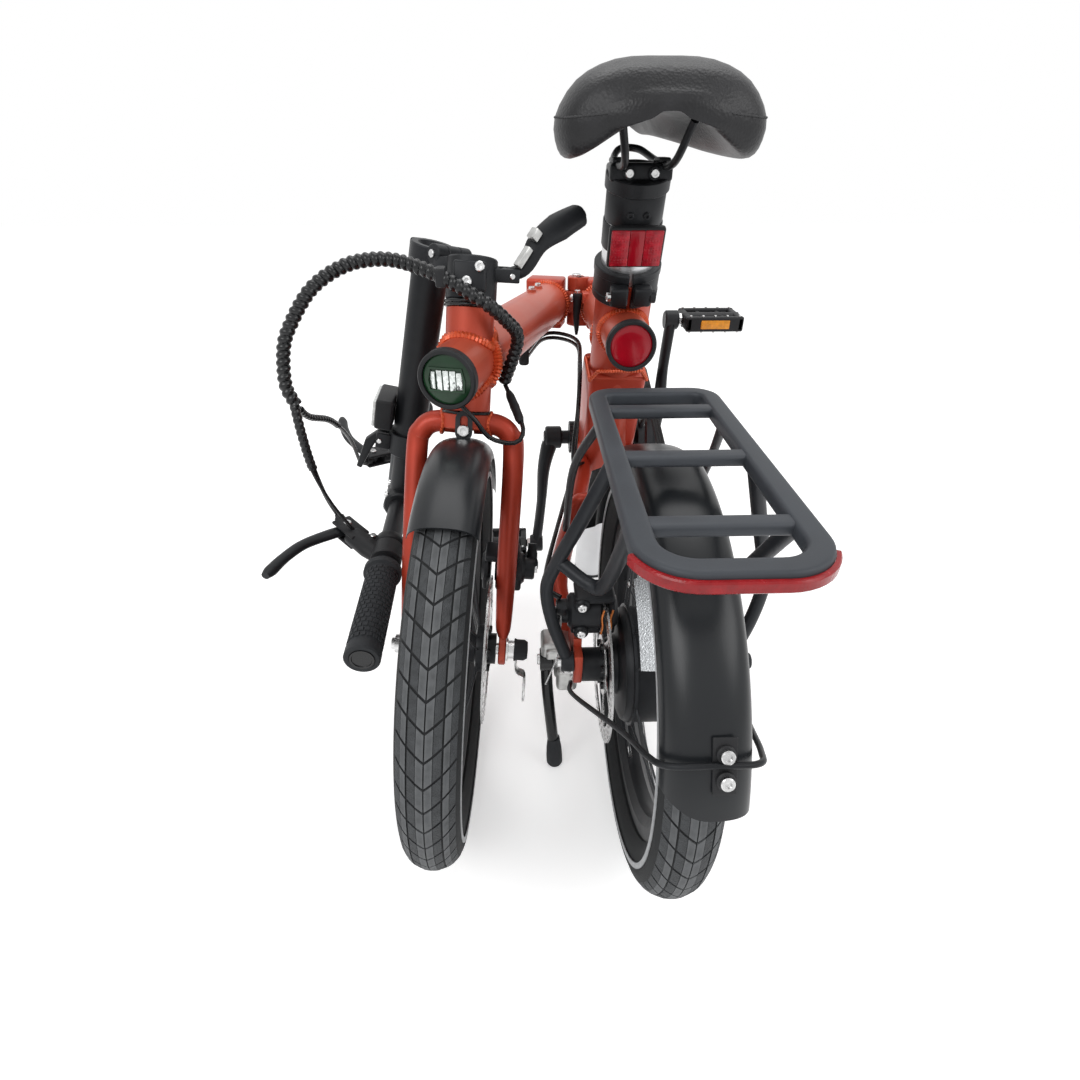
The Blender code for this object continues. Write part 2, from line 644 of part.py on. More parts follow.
# Bottom bracket: two cups on one cartridge
CUP_IN = SHELL_HALF_WIDTH + GAP
cartridge = turned([
    (SPINDLE_RADIUS + GAP, CUP_X), (CUP_RADIUS, CUP_X), (CUP_RADIUS, CUP_IN), (CARTRIDGE_RADIUS, CUP_IN),
    (CARTRIDGE_RADIUS, -CUP_IN), (CUP_RADIUS, -CUP_IN), (CUP_RADIUS, -CUP_X), (SPINDLE_RADIUS + GAP, -CUP_X)],
    BRACKET, X, 20)
finish(cartridge, "bottom_bracket", BLACK_METAL, "rear_half")

# Latch lever hanging beside the hinge
latch = slab([(LATCH_PIVOT.y - 0.0065, LATCH_PIVOT.z + 0.007),
              (LATCH_PIVOT.y + 0.0055, LATCH_PIVOT.z + 0.007),
              (LATCH_PIVOT.y + 0.0055, LATCH_PIVOT.z - 0.018), (LATCH_PIVOT.y + 0.003, LATCH_PIVOT.z - 0.050),
              (LATCH_PIVOT.y - 0.0045, LATCH_PIVOT.z - 0.050),
              (LATCH_PIVOT.y - 0.0065, LATCH_PIVOT.z - 0.018)],
             LATCH_PIVOT.x - 0.006, LATCH_PIVOT.x + 0.0070)
weld(latch, cylinder(LATCH_PIVOT, LATCH_PIVOT + X * 0.017, 0.0030, sides=10))
finish(latch, "latch_lever", BLACK_METAL, "frame_latch")


def lamp(prefix, face, ahead, lens_material, owner):
    """Bezel and lens of a round lamp; ahead points out of the lamp."""
    bezel = turned([(LAMP_RADIUS - 0.0035, 0.0), (LAMP_RADIUS - 0.001, 0.0), (LAMP_RADIUS, -0.0015),
                    (LAMP_RADIUS, GAP - LENS_DEPTH), (LAMP_RADIUS - 0.0035, GAP - LENS_DEPTH)], face,
                    ahead, 22)
    finish(bezel, prefix + "_bezel", BLACK, owner)
    lens_radius = LAMP_RADIUS - 0.0035 - GAP
    lens = turned([(0.0, -0.0012), (lens_radius * 0.6, -0.0018), (lens_radius, -0.0034),
                   (lens_radius, GAP - LENS_DEPTH), (0.0, GAP - LENS_DEPTH)], face, ahead, 22, closed=False)
    finish(lens, prefix + "_lens", lens_material, owner)


lamp("tail_lamp", tail, -Y, RED_LENS, "rear_half")

# Seat clamp with two ears behind
CLAMP_OUT = SEAT_TUBE_RADIUS + 0.0045
clamp = turned([
    (POST_RADIUS + GAP, 0.014), (CLAMP_OUT, 0.014), (CLAMP_OUT, -0.022), (SEAT_TUBE_RADIUS + GAP, -0.022),
    (SEAT_TUBE_RADIUS + GAP, GAP), (POST_RADIUS + GAP, GAP)], SEAT_PIVOT, SEAT_UP, 20)
seat_turn = upright(SEAT_UP)
for side in (-1, 1):
    ear = block(SEAT_PIVOT - SEAT_UP * 0.004 + SEAT_BACK * (CLAMP_OUT + 0.004) + X * side * 0.0125,
                (0.019, 0.014, 0.020), seat_turn)
    weld(clamp, ear)
weld(clamp, cylinder(SEAT_PIVOT - SEAT_UP * 0.004 + SEAT_BACK * (CLAMP_OUT + 0.006) - X * 0.026,
                     SEAT_PIVOT - SEAT_UP * 0.004 + SEAT_BACK * (CLAMP_OUT + 0.006) + X * 0.026, 0.0045,
                     sides=10))
carve(clamp, block(SEAT_PIVOT + SEAT_BACK * (SEAT_TUBE_RADIUS - 0.004), (0.004, 0.013, 0.09), seat_turn))
finish(clamp, "seat_clamp", BLACK_METAL, "rear_half")

# Seatpost, lowered so that its rubber foot stands on the floor
FOOT_TOP = 0.016
post = cylinder(seat(FOOT_TOP + GAP), seat(POST_TOP), POST_RADIUS, sides=20)
finish(post, "seatpost", BLACK_METAL, "seatpost")
foot = cylinder(seat(-0.03), seat(FOOT_TOP), POST_RADIUS, sides=20)
carve(foot, box((-0.1, SEAT_FOOT_Y - 0.1, -0.1), (0.1, SEAT_FOOT_Y + 0.1, 0.0)))
finish(foot, "seatpost_foot", RUBBER, "seatpost")
RAIL_X = 0.022
RAIL_RADIUS = 0.0035
cap_top = seat(POST_TOP + 0.014)
RAIL_Z = cap_top.z + 0.008
saddle_clamp = cylinder(seat(POST_TOP + GAP), cap_top, POST_RADIUS + 0.003, sides=20)
weld(saddle_clamp, box((-RAIL_X - 0.008, cap_top.y - 0.018, cap_top.z - 0.008),
                       (RAIL_X + 0.008, cap_top.y + 0.018, RAIL_Z), 0.002))
REFLECTOR_DEPTH = 0.010
reflector = block(seat(POST_TOP - 0.043) + SEAT_BACK * (POST_RADIUS + GAP + REFLECTOR_DEPTH / 2),
                  (0.056, REFLECTOR_DEPTH, 0.040), seat_turn, 0.002)
finish(reflector, "seat_reflector", RED_LENS, "seatpost")

# Saddle: a closed loft of sections from the wide rear to the nose
SADDLE_STATIONS = [(0.0, 0.55, 0.020, 0.045), (0.06, 0.90, 0.004, 0.062), (0.20, 1.0, 0.0, 0.070),
                   (0.38, 0.80, 0.004, 0.064), (0.55, 0.50, 0.012, 0.058), (0.75, 0.30, 0.018, 0.056),
                   (0.93, 0.24, 0.020, 0.054), (1.0, 0.14, 0.026, 0.046)]
SADDLE_RING = [(0.0, 1.0), (0.45, 0.97), (0.80, 0.78), (1.0, 0.42), (0.97, 0.10), (0.85, 0.0), (0.66, 0.12),
               (0.35, 0.45)]
ring = SADDLE_RING + [(0.0, 0.50)] + [(-x, z) for x, z in reversed(SADDLE_RING[1:])]
bm = bmesh.new()
rows = []
for along, width, low, high in SADDLE_STATIONS:
    y = SADDLE_REAR_Y + SADDLE_LENGTH * along
    rows.append([bm.verts.new((SADDLE_HALF_WIDTH * width * x, y, SADDLE_Z + 0.004 + low + (high - low) * z))
                 for x, z in ring])
for first, second in zip(rows, rows[1:]):
    for i in range(len(ring)):
        j = (i + 1) % len(ring)
        bm.faces.new((first[i], first[j], second[j], second[i]))
bm.faces.new(rows[0])
bm.faces.new(list(reversed(rows[-1])))
saddle = from_bmesh(bm)
finish(saddle, "saddle", COVER, "seatpost")
rails = smooth([(-0.030, SADDLE_REAR_Y + 0.046, SADDLE_Z + 0.0313), (-RAIL_X, SADDLE_REAR_Y + 0.075, RAIL_Z),
                (-RAIL_X, cap_top.y + 0.025, RAIL_Z), (-0.010, SADDLE_REAR_Y + 0.200, RAIL_Z + 0.010),
                (0.010, SADDLE_REAR_Y + 0.200, RAIL_Z + 0.010), (RAIL_X, cap_top.y + 0.025, RAIL_Z),
                (RAIL_X, SADDLE_REAR_Y + 0.075, RAIL_Z),
                (0.030, SADDLE_REAR_Y + 0.046, SADDLE_Z + 0.0313)], 2)
weld(saddle_clamp, pipe(rails, RAIL_RADIUS, 1))
finish(saddle_clamp, "saddle_clamp", BLACK_METAL, "seatpost")

# Rack: a flat loop with crossbars and stays
RACK_MID = RACK_TOP - RACK_HEIGHT / 2


def rack_outline(inset):
    half = RACK_HALF_WIDTH - inset
    near = RACK_NEAR_Y + inset
    far = RACK_FAR_Y - inset
    small = max(0.006, 0.024 - inset)
    large = max(0.016, 0.036 - inset)
    return (arc((half - large, near + large), large, 0, -90, 6)
            + arc((large - half, near + large), large, -90, -180, 6)
            + arc((small - half, far - small), small, 180, 90, 5)
            + arc((half - small, far - small), small, 90, 0, 5))


rack = plate([rack_outline(0.0), rack_outline(RACK_BAR)], RACK_HEIGHT)
rack.data.transform(Matrix.Translation((0, 0, RACK_MID)))
for y in RACK_CROSSBARS:
    weld(rack, box((0.006 - RACK_HALF_WIDTH, y - 0.007, RACK_MID - 0.004),
                   (RACK_HALF_WIDTH - 0.006, y + 0.007, RACK_MID + 0.005)))
STAY_RADIUS = 0.006
EYE_X = NUT_X + STAY_RADIUS
STRUT_RADIUS = 0.0042
STRUT_X = BELT_X + BELT_WIDTH / 2 + STRUT_RADIUS + 0.002
STRUT_Z = 0.2435
for side in (-1, 1):
    stay = smooth([(side * 0.051, -0.042, RACK_MID), (side * 0.071, -0.026, 0.382),
                   (side * 0.0905, -0.010, 0.327),
                   (side * 0.0975, -0.005, 0.298), (side * 0.092, -0.008, 0.262),
                   (side * EYE_X, -0.014, 0.222)], 3)
    weld(rack, pipe(stay, STAY_RADIUS))
    brace = smooth([(side * 0.088, -0.011, 0.333), (side * 0.0635, -0.030, 0.322),
                    (side * 0.052, -0.044, 0.331),
                    (side * 0.050, -0.130, RACK_MID)], 3)
    weld(rack, pipe(brace, STAY_RADIUS))
    weld(rack, pipe([(side * 0.051, 0.035, RACK_MID), (side * STRUT_X, 0.110, 0.360),
                     (side * STRUT_X, 0.186, STRUT_Z)],
                    STRUT_RADIUS, 1))
finish(rack, "rear_rack", SATIN, "rear_half")
outer = [p for p in rack_outline(-0.0035) if p[1] < RACK_NEAR_Y + 0.03]
inner = [p for p in rack_outline(-GAP) if p[1] < RACK_NEAR_Y + 0.03]
band = slab(outer + list(reversed(inner)), RACK_MID - 0.0055, RACK_MID + 0.005, "Z")
finish(band, "rack_reflector", RED_LENS, "rear_half")


def guard(radius, half, first, last, steps, centre):
    """A curved mudguard over an arc of the wheel; angles run from the near side over the top, in degrees."""
    section = [(half, radius - 0.0165), (half, radius - 0.0080), (half * 0.72, radius),
               (-half * 0.72, radius),
               (-half, radius - 0.0080), (-half, radius - 0.0165)]
    bm = bmesh.new()
    rows = []
    for i in range(steps + 1):
        angle = math.radians(first + (last - first) * i / steps)
        rows.append([bm.verts.new(centre + Vector((x, -r * math.cos(angle), r * math.sin(angle))))
                     for x, r in section])
    for one, two in zip(rows, rows[1:]):
        for i in range(len(section) - 1):
            bm.faces.new((one[i], one[i + 1], two[i + 1], two[i]))
    obj = from_bmesh(bm)
    shell = obj.modifiers.new("shell", "SOLIDIFY")
    shell.thickness = GUARD_THICKNESS
    shell.offset = 1.0 if sum(f.normal.dot(f.center - centre) for f in obj.data.polygons) > 0 else -1.0
    return obj


finish(guard(REAR_GUARD_RADIUS, REAR_GUARD_HALF_WIDTH, 17, 170, 18, REAR_AXLE), "rear_mudguard", BLACK,
       "rear_half")
WIRE = 0.0022
wire_out = REAR_GUARD_RADIUS + GUARD_THICKNESS + WIRE + 0.0006
wire_angle = math.radians(28)
wire_y = -wire_out * math.cos(wire_angle)
wire_z = AXLE_HEIGHT + wire_out * math.sin(wire_angle)
wire_x = REAR_GUARD_HALF_WIDTH + GUARD_THICKNESS + WIRE + 0.0015
wire = smooth([(-NUT_X - WIRE, -0.015, AXLE_HEIGHT - 0.009), (-0.0745, -0.045, AXLE_HEIGHT + 0.006),
               (-wire_x - 0.012, wire_y * 0.72, AXLE_HEIGHT + 0.070),
               (-wire_x, wire_y * 0.95, wire_z - 0.010),
               (-wire_x * 0.80, wire_y, wire_z), (0.0, wire_y, wire_z), (wire_x * 0.80, wire_y, wire_z),
               (wire_x, wire_y * 0.95, wire_z - 0.010), (wire_x + 0.012, wire_y * 0.72, AXLE_HEIGHT + 0.070),
               (0.0745, -0.045, AXLE_HEIGHT + 0.006), (NUT_X + WIRE, -0.015, AXLE_HEIGHT - 0.009)], 2)
finish(pipe(wire, WIRE, 1), "mudguard_stay", STEEL, "rear_half")


def caliper(low, high, rotor_x, slot_top):
    """A brake caliper body with a slot over the rotor's edge and an actuating arm."""
    low, high = Vector(low), Vector(high)
    made = box(low, high, 0.003)
    slot = ROTOR_THICKNESS / 2 + 0.0012
    carve(made, box((rotor_x - slot, low.y - 0.02, low.z - 0.02), (rotor_x + slot, high.y + 0.02, slot_top)))
    return made


CALIPER_TOP = AXLE_HEIGHT + ROTOR_RADIUS + 0.0015
rear_caliper = caliper((-0.077, -0.006, 0.238), (-0.031, 0.029, CALIPER_TOP + 0.008), REAR_ROTOR_X,
                       CALIPER_TOP)
weld(rear_caliper, cylinder((-0.077, 0.012, 0.258), (-0.088, 0.012, 0.258), 0.012, sides=14))
finish(rear_caliper, "rear_caliper", BLACK_METAL, "rear_half")

# Kickstand
stay_low = AXLE_HEIGHT - 0.010 - GAP
bracket = box((STAND_X + 0.0075, STAND_Y - 0.018, STAND_Z - 0.014), (-0.062, STAND_Y + 0.018, stay_low),
              0.003)
weld(bracket, cylinder((STAND_X + 0.012, STAND_Y, STAND_Z), (STAND_X - 0.007, STAND_Y, STAND_Z), 0.004,
                       sides=12))
finish(bracket, "kickstand_bracket", BLACK_METAL, "rear_half")
leg = cylinder(STAND_PIVOT + X * 0.0070, STAND_PIVOT - X * 0.0070, 0.0125, sides=16)
weld(leg, pipe([STAND_PIVOT, STAND_PIVOT + Vector((0.002, -0.003, -0.05)),
                (STAND_X + 0.010, STAND_Y - 0.011, 0.022)],
               0.0065))
weld(leg, cylinder((STAND_X + 0.0095, STAND_Y - 0.010, 0.030), (STAND_X + 0.0105, STAND_Y - 0.012,
                                                                0.0025), 0.0095,
                   sides=12))
carve(leg, cylinder(STAND_PIVOT + X * 0.02, STAND_PIVOT - X * 0.02, 0.004 + GAP, sides=12))
finish(leg, "kickstand_leg", SILVER, "kickstand")


def crank(side, end, spindle):
    """One crank arm with its pedal spindle; side is 1 on the right and -1 on the left."""
    boss = BRACKET + X * side * CRANK_BOSS_X
    tip = Vector((side * CRANK_END_X, end.y, end.z))
    arm = cylinder(boss - X * side * BOSS_HALF, boss + X * side * 0.011, 0.0165, sides=16)
    run = tip - boss
    weld(arm, pipe([boss, boss + run * 0.18, boss + run * 0.55, tip], 0.0135, 2, [0.95, 1.0, 0.92, 0.85]))
    weld(arm, cylinder(tip - X * side * 0.010, tip + X * side * 0.010, 0.0130, sides=14))
    weld(arm, cylinder(tip, tip + X * side * (PEDAL_X + PEDAL_WIDTH / 2 - CRANK_END_X - 0.006), 0.0055,
                       sides=10))
    if spindle:
        weld(arm, cylinder(boss, BRACKET - X * (CRANK_BOSS_X + 0.013), SPINDLE_RADIUS, sides=14))
    else:
        carve(arm, cylinder(boss + X * 0.03, boss - X * 0.03, SPINDLE_RADIUS + GAP, sides=14))
    return arm


def pedal(side, centre):
    half = PEDAL_WIDTH / 2
    middle = Vector((side * PEDAL_X, centre.y, centre.z))
    made = block(middle, (PEDAL_WIDTH, PEDAL_DEPTH, PEDAL_HEIGHT), None, 0.003)
    for place in (-1, 1):
        carve(made, block(middle + Y * place * 0.0175, (PEDAL_WIDTH * 0.62, 0.016, PEDAL_HEIGHT * 2)))
    carve(made, cylinder(middle - X * half * 1.2, middle + X * half * 1.2, 0.0055 + GAP, sides=10))
    return made


finish(crank(1, RIGHT_PEDAL, True), "crank_right", BLACK_METAL, "crankset")
finish(crank(-1, LEFT_PEDAL, False), "crank_left", BLACK_METAL, "crankset")
finish(pedal(1, RIGHT_PEDAL), "pedal_right", BLACK, "pedal_right")
finish(pedal(-1, LEFT_PEDAL), "pedal_left", BLACK, "pedal_left")
SPROCKET_LOW = BELT_X - 0.0045
SPROCKET_HIGH = CRANK_BOSS_X - BOSS_HALF - GAP
SPROCKET_WINDOWS = [arc((0, 0), SPROCKET_RADIUS - 0.016, 72 * i + 12, 72 * i + 60, 5)
                    + arc((0, 0), 0.036, 72 * i + 60, 72 * i + 12, 3) for i in range(5)]
sprocket = plate([around(SPROCKET_RADIUS, 48), around(SPINDLE_RADIUS + GAP, 14)] + SPROCKET_WINDOWS,
                 SPROCKET_HIGH - SPROCKET_LOW)
sprocket.data.transform(Matrix.Translation(BRACKET + X * (SPROCKET_LOW + SPROCKET_HIGH) / 2) @ upright(X))
finish(sprocket, "front_sprocket", BLACK_METAL, "crankset")

# Front frame
front = cylinder((0, PIN_Y + 0.030, TUBE_Z), HEAD_CENTRE, TUBE_RADIUS, sides=20)
weld(front, cylinder(HEAD_CENTRE - HEAD_UP * HEAD_HALF_LENGTH, HEAD_CENTRE + HEAD_UP * HEAD_HALF_LENGTH,
                     HEAD_RADIUS,
                     sides=20))
lamp_face = Vector((0, HEAD_LAMP_Y, HEAD_LAMP_Z))
weld(front, cylinder((0, HEAD_Y, HEAD_LAMP_Z), lamp_face - Y * LENS_DEPTH, LAMP_RADIUS - 0.001, sides=20))
weld(front, box((HINGE_LEFT_X, PIN_Y + GAP, HINGE_LOW), (HINGE_RIGHT_X, PIN_Y + 0.034, HINGE_HIGH), 0.003))
tongue_low = TUBE_Z - TONGUE + GAP
tongue_high = TUBE_Z + TONGUE - GAP
weld(front, cylinder(PIN + Z * tongue_low, PIN + Z * tongue_high, KNUCKLE_RADIUS, sides=20))
weld(front, box((PIN_X, PIN_Y + GAP, tongue_low), (HINGE_LEFT_X + 0.004, PIN_Y + KNUCKLE_RADIUS,
                                                   tongue_high)))
carve(front, cylinder(HEAD_CENTRE - HEAD_UP * 0.08, HEAD_CENTRE + HEAD_UP * 0.08, STEERER_RADIUS + GAP,
                      sides=16))
carve(front, cylinder(PIN + Z * HINGE_LOW, PIN + Z * HINGE_HIGH, PIN_RADIUS + GAP, sides=12))
finish(front, "front_frame", RED, "front_half")
lamp("head_lamp", lamp_face, Y, CLEAR_LENS, "front_half")
RACE = 0.006
race_low = HEAD_HALF_LENGTH + GAP
race_high = race_low + RACE
race = turned([(STEERER_RADIUS + GAP, race_high), (HEAD_RADIUS + 0.002, race_high),
               (HEAD_RADIUS + 0.002, race_low),
               (STEERER_RADIUS + GAP, race_low)], HEAD_CENTRE, HEAD_UP, 20)
finish(race, "headset", BLACK_METAL, "front_half")

# Fork
CROWN_TOP = HEAD_CENTRE - HEAD_UP * (HEAD_HALF_LENGTH + GAP)
STEM_LOW = HEAD_CENTRE + HEAD_UP * (HEAD_HALF_LENGTH + RACE + GAP * 2)
crown = CROWN_TOP - HEAD_UP * 0.0115
fork = cylinder(CROWN_TOP - HEAD_UP * 0.017, CROWN_TOP, HEAD_RADIUS + 0.001, sides=20)
weld(fork, cylinder(crown, STEM_LOW + HEAD_UP * 0.020, STEERER_RADIUS, sides=16))
for side in (-1, 1):
    shoulder = crown + X * side * 0.030 - HEAD_UP * 0.0005
    knee = crown + X * side * FORK_HALF_WIDTH - HEAD_UP * 0.030
    heel = Vector((side * FORK_HALF_WIDTH, FRONT_AXLE.y, FRONT_AXLE.z))
    ankle = heel + (knee - heel).normalized() * 0.0162
    run = ankle - knee
    weld(fork, pipe([crown + X * side * 0.008, shoulder, crown + X * side * 0.0425 - HEAD_UP * 0.0095, knee,
                     knee + run * 0.6, ankle], FORK_RADIUS, 2, [1.0, 1.0, 1.0, 1.0, 0.95, 0.68]))
    weld(fork, cylinder(FRONT_AXLE + X * side * (FRONT_HUB_HALF_WIDTH + GAP),
                        FRONT_AXLE + X * side * 0.0515, 0.0165,
                        sides=16))
knee_y = FRONT_AXLE.y - 0.052
weld(fork, box((-0.053, knee_y + GAP, FRONT_AXLE.z + 0.036), (-0.043, knee_y + 0.024, FRONT_AXLE.z + 0.056)))
strap_top = crown + HEAD_FORWARD * 0.024
radial = (strap_top - FRONT_AXLE).normalized()
weld(fork, block(FRONT_AXLE + radial * (FRONT_GUARD_RADIUS + GUARD_THICKNESS + GAP + 0.009),
                 (0.016, 0.005, 0.018),
                 upright(radial)))
carve(fork, cylinder(FRONT_AXLE - X * 0.08, FRONT_AXLE + X * 0.08, AXLE_RADIUS + GAP, sides=12))
finish(fork, "fork", RED, "fork")
FRONT_NUT = 0.0515 + GAP
front_axle = turned([
    (0.0, 0.0650), (0.0095, 0.0632), (0.0095, FRONT_NUT), (AXLE_RADIUS, FRONT_NUT), (AXLE_RADIUS, -FRONT_NUT),
    (0.0095, -FRONT_NUT), (0.0095, -0.072), (0.0, -0.074)], FRONT_AXLE, X, 12, closed=False)
finish(front_axle, "front_axle", STEEL, "fork")
FRONT_SEAT = FRONT_ROTOR_X + ROTOR_THICKNESS / 2 + GAP
FRONT_HUB = [
    (AXLE_RADIUS + GAP, FRONT_HUB_HALF_WIDTH), (0.010, FRONT_HUB_HALF_WIDTH), (0.012, 0.027), (0.024, 0.026),
    (0.024, 0.022), (0.014, 0.019), (0.014, -0.019), (0.024, -0.022), (0.024, FRONT_SEAT),
    (0.0155, FRONT_SEAT),
    (0.0155, -FRONT_HUB_HALF_WIDTH), (AXLE_RADIUS + GAP, -FRONT_HUB_HALF_WIDTH)]
wheel("front", "front_wheel", FRONT_AXLE, FRONT_HUB, 0.024, 0.0240, FRONT_ROTOR_X, 0.0155 + GAP)
finish(guard(FRONT_GUARD_RADIUS, FRONT_GUARD_HALF_WIDTH, 22, 113, 12, FRONT_AXLE), "front_mudguard",
       BLACK, "fork")
front_caliper = caliper((-0.066, knee_y - 0.034, FRONT_AXLE.z + 0.034),
                        (-0.021, knee_y, FRONT_AXLE.z + 0.076),
                        FRONT_ROTOR_X, FRONT_AXLE.z + 0.066)
weld(front_caliper, cylinder((-0.066, knee_y - 0.017, FRONT_AXLE.z + 0.055),
                             (-0.076, knee_y - 0.017, FRONT_AXLE.z + 0.055), 0.011, sides=14))
finish(front_caliper, "front_caliper", BLACK_METAL, "fork")
magnet = box((-0.0635, FRONT_AXLE.y - 0.013, FRONT_AXLE.z - 0.068),
             (-0.0612, FRONT_AXLE.y + 0.013, FRONT_AXLE.z - 0.0102))
weld(magnet, box((-0.0635, FRONT_AXLE.y - 0.013, FRONT_AXLE.z - 0.068), (-0.050, FRONT_AXLE.y + 0.013,
                                                                         FRONT_AXLE.z - 0.0655)))
finish(magnet, "magnet_plate", STEEL, "fork")

# Stem base and folding handlepost
outward = (STEM_PIVOT - STEM_TOP)
outward = (outward - HEAD_UP * outward.dot(HEAD_UP)).normalized()
stem = cylinder(STEM_LOW, STEM_TOP - HEAD_UP * GAP, STEM_RADIUS, sides=20)
frame_turn = Matrix((outward, outward.cross(HEAD_UP), HEAD_UP)).transposed().to_4x4()


def level(point, height):
    """The point moved along the steering axis to this height over the stem's split."""
    return point + HEAD_UP * (height - (point - STEM_TOP).dot(HEAD_UP))


for side in (-1, 1):
    first = STEM_PIVOT + STEM_AXIS * side * (STEM_TONGUE_HALF + GAP)
    last = STEM_PIVOT + STEM_AXIS * side * STEM_KNUCKLE_HALF
    weld(stem, cylinder(first, last, STEM_KNUCKLE_RADIUS, sides=14))
    middle = (first + last) / 2
    length = (last - first).length
    weld(stem, block(level(middle - outward * 0.009, -0.0075), (0.018, length * 0.98, 0.013), frame_turn))
carve(stem,
      cylinder(STEM_PIVOT - STEM_AXIS * (STEM_TONGUE_HALF + GAP),
               STEM_PIVOT + STEM_AXIS * (STEM_TONGUE_HALF + GAP),
                     STEM_KNUCKLE_RADIUS + 0.0006, sides=16))
carve(stem, cylinder(STEM_LOW - HEAD_UP * 0.01, STEM_LOW + HEAD_UP * (0.020 + GAP), STEERER_RADIUS + GAP,
                     sides=16))
weld(stem, cylinder(STEM_PIVOT - STEM_AXIS * 0.0235, STEM_PIVOT + STEM_AXIS * 0.0235, STEM_PIN_RADIUS,
                    sides=10))
lug_end = stem_lever_here - (stem_lever_here - head(stem_lever_here.z)).normalized() * LUG_CLEAR
weld(stem, cylinder(head(lug_end.z).lerp(lug_end, 0.72), lug_end, 0.0075, sides=10))
finish(stem, "stem_base", BLACK_METAL, "fork")

POST_END = STEM_TOP + HEAD_UP * POST_TUBE_LENGTH
handlepost = cylinder(STEM_TOP + HEAD_UP * GAP, STEM_TOP + HEAD_UP * 0.026, STEM_RADIUS - 0.002, sides=20)
weld(handlepost, cylinder(STEM_TOP + HEAD_UP * 0.020, POST_END, POST_TUBE_RADIUS, sides=20))
weld(handlepost, cylinder(POST_END - HEAD_UP * 0.026, POST_END, POST_TUBE_RADIUS + 0.004, sides=20))
weld(handlepost,
     cylinder(STEM_PIVOT - STEM_AXIS * STEM_TONGUE_HALF, STEM_PIVOT + STEM_AXIS * STEM_TONGUE_HALF,
                          STEM_KNUCKLE_RADIUS, sides=14))
weld(handlepost, block(level(STEM_PIVOT - outward * 0.010, 0.0075), (0.020, STEM_TONGUE_HALF * 1.9, 0.013),
                       frame_turn))
for side in (-1, 1):
    weld(handlepost, block(BAR_CLAMP - HEAD_FORWARD * 0.004 + X * side * 0.0085, (0.006, 0.016, 0.018),
                           upright(HEAD_UP), 0.001))
for side in (-1, 1):
    first = STEM_PIVOT + STEM_AXIS * side * STEM_TONGUE_HALF
    last = STEM_PIVOT + STEM_AXIS * side * (STEM_KNUCKLE_HALF + 0.004)
    carve(handlepost, cylinder(first + STEM_AXIS * side * GAP * 0.5, last, STEM_KNUCKLE_RADIUS + 0.0006,
                               sides=16))
INNER_LOW = 0.034
carve(handlepost, cylinder(STEM_TOP + HEAD_UP * INNER_LOW, POST_END + HEAD_UP * 0.02,
                           INNER_TUBE_RADIUS + GAP, sides=16))
carve(handlepost, cylinder(STEM_PIVOT - STEM_AXIS * 0.03, STEM_PIVOT + STEM_AXIS * 0.03,
                           STEM_PIN_RADIUS + GAP, sides=10))
carve(handlepost, cylinder(BAR_CLAMP - X * 0.02, BAR_CLAMP + X * 0.02, 0.0028 + GAP, sides=10))
finish(handlepost, "handlepost", BLACK_METAL, "handlepost")
clamp_lever = slab([(BAR_CLAMP.y - 0.005, BAR_CLAMP.z - 0.006), (BAR_CLAMP.y + 0.006, BAR_CLAMP.z - 0.006),
                    (BAR_CLAMP.y + 0.014, BAR_CLAMP.z + 0.010), (BAR_CLAMP.y + 0.010, BAR_CLAMP.z + 0.046),
                    (BAR_CLAMP.y + 0.004, BAR_CLAMP.z + 0.046), (BAR_CLAMP.y + 0.003, BAR_CLAMP.z + 0.010)],
                   -0.0052, 0.0052)
weld(clamp_lever, cylinder(BAR_CLAMP - X * 0.013, BAR_CLAMP + X * 0.013, 0.0028, sides=10))
finish(clamp_lever, "bar_clamp_lever", BLACK_METAL, "bar_clamp")
lens_at = (STEM_TOP + HEAD_UP * (POST_TUBE_LENGTH - REFLECTOR_FROM_END)
           + HEAD_FORWARD * (POST_TUBE_RADIUS + GAP + 0.011))
white = block(lens_at, (0.050, 0.022, 0.034), upright(HEAD_UP), 0.003)
finish(white, "front_reflector", WHITE_LENS, "handlepost")

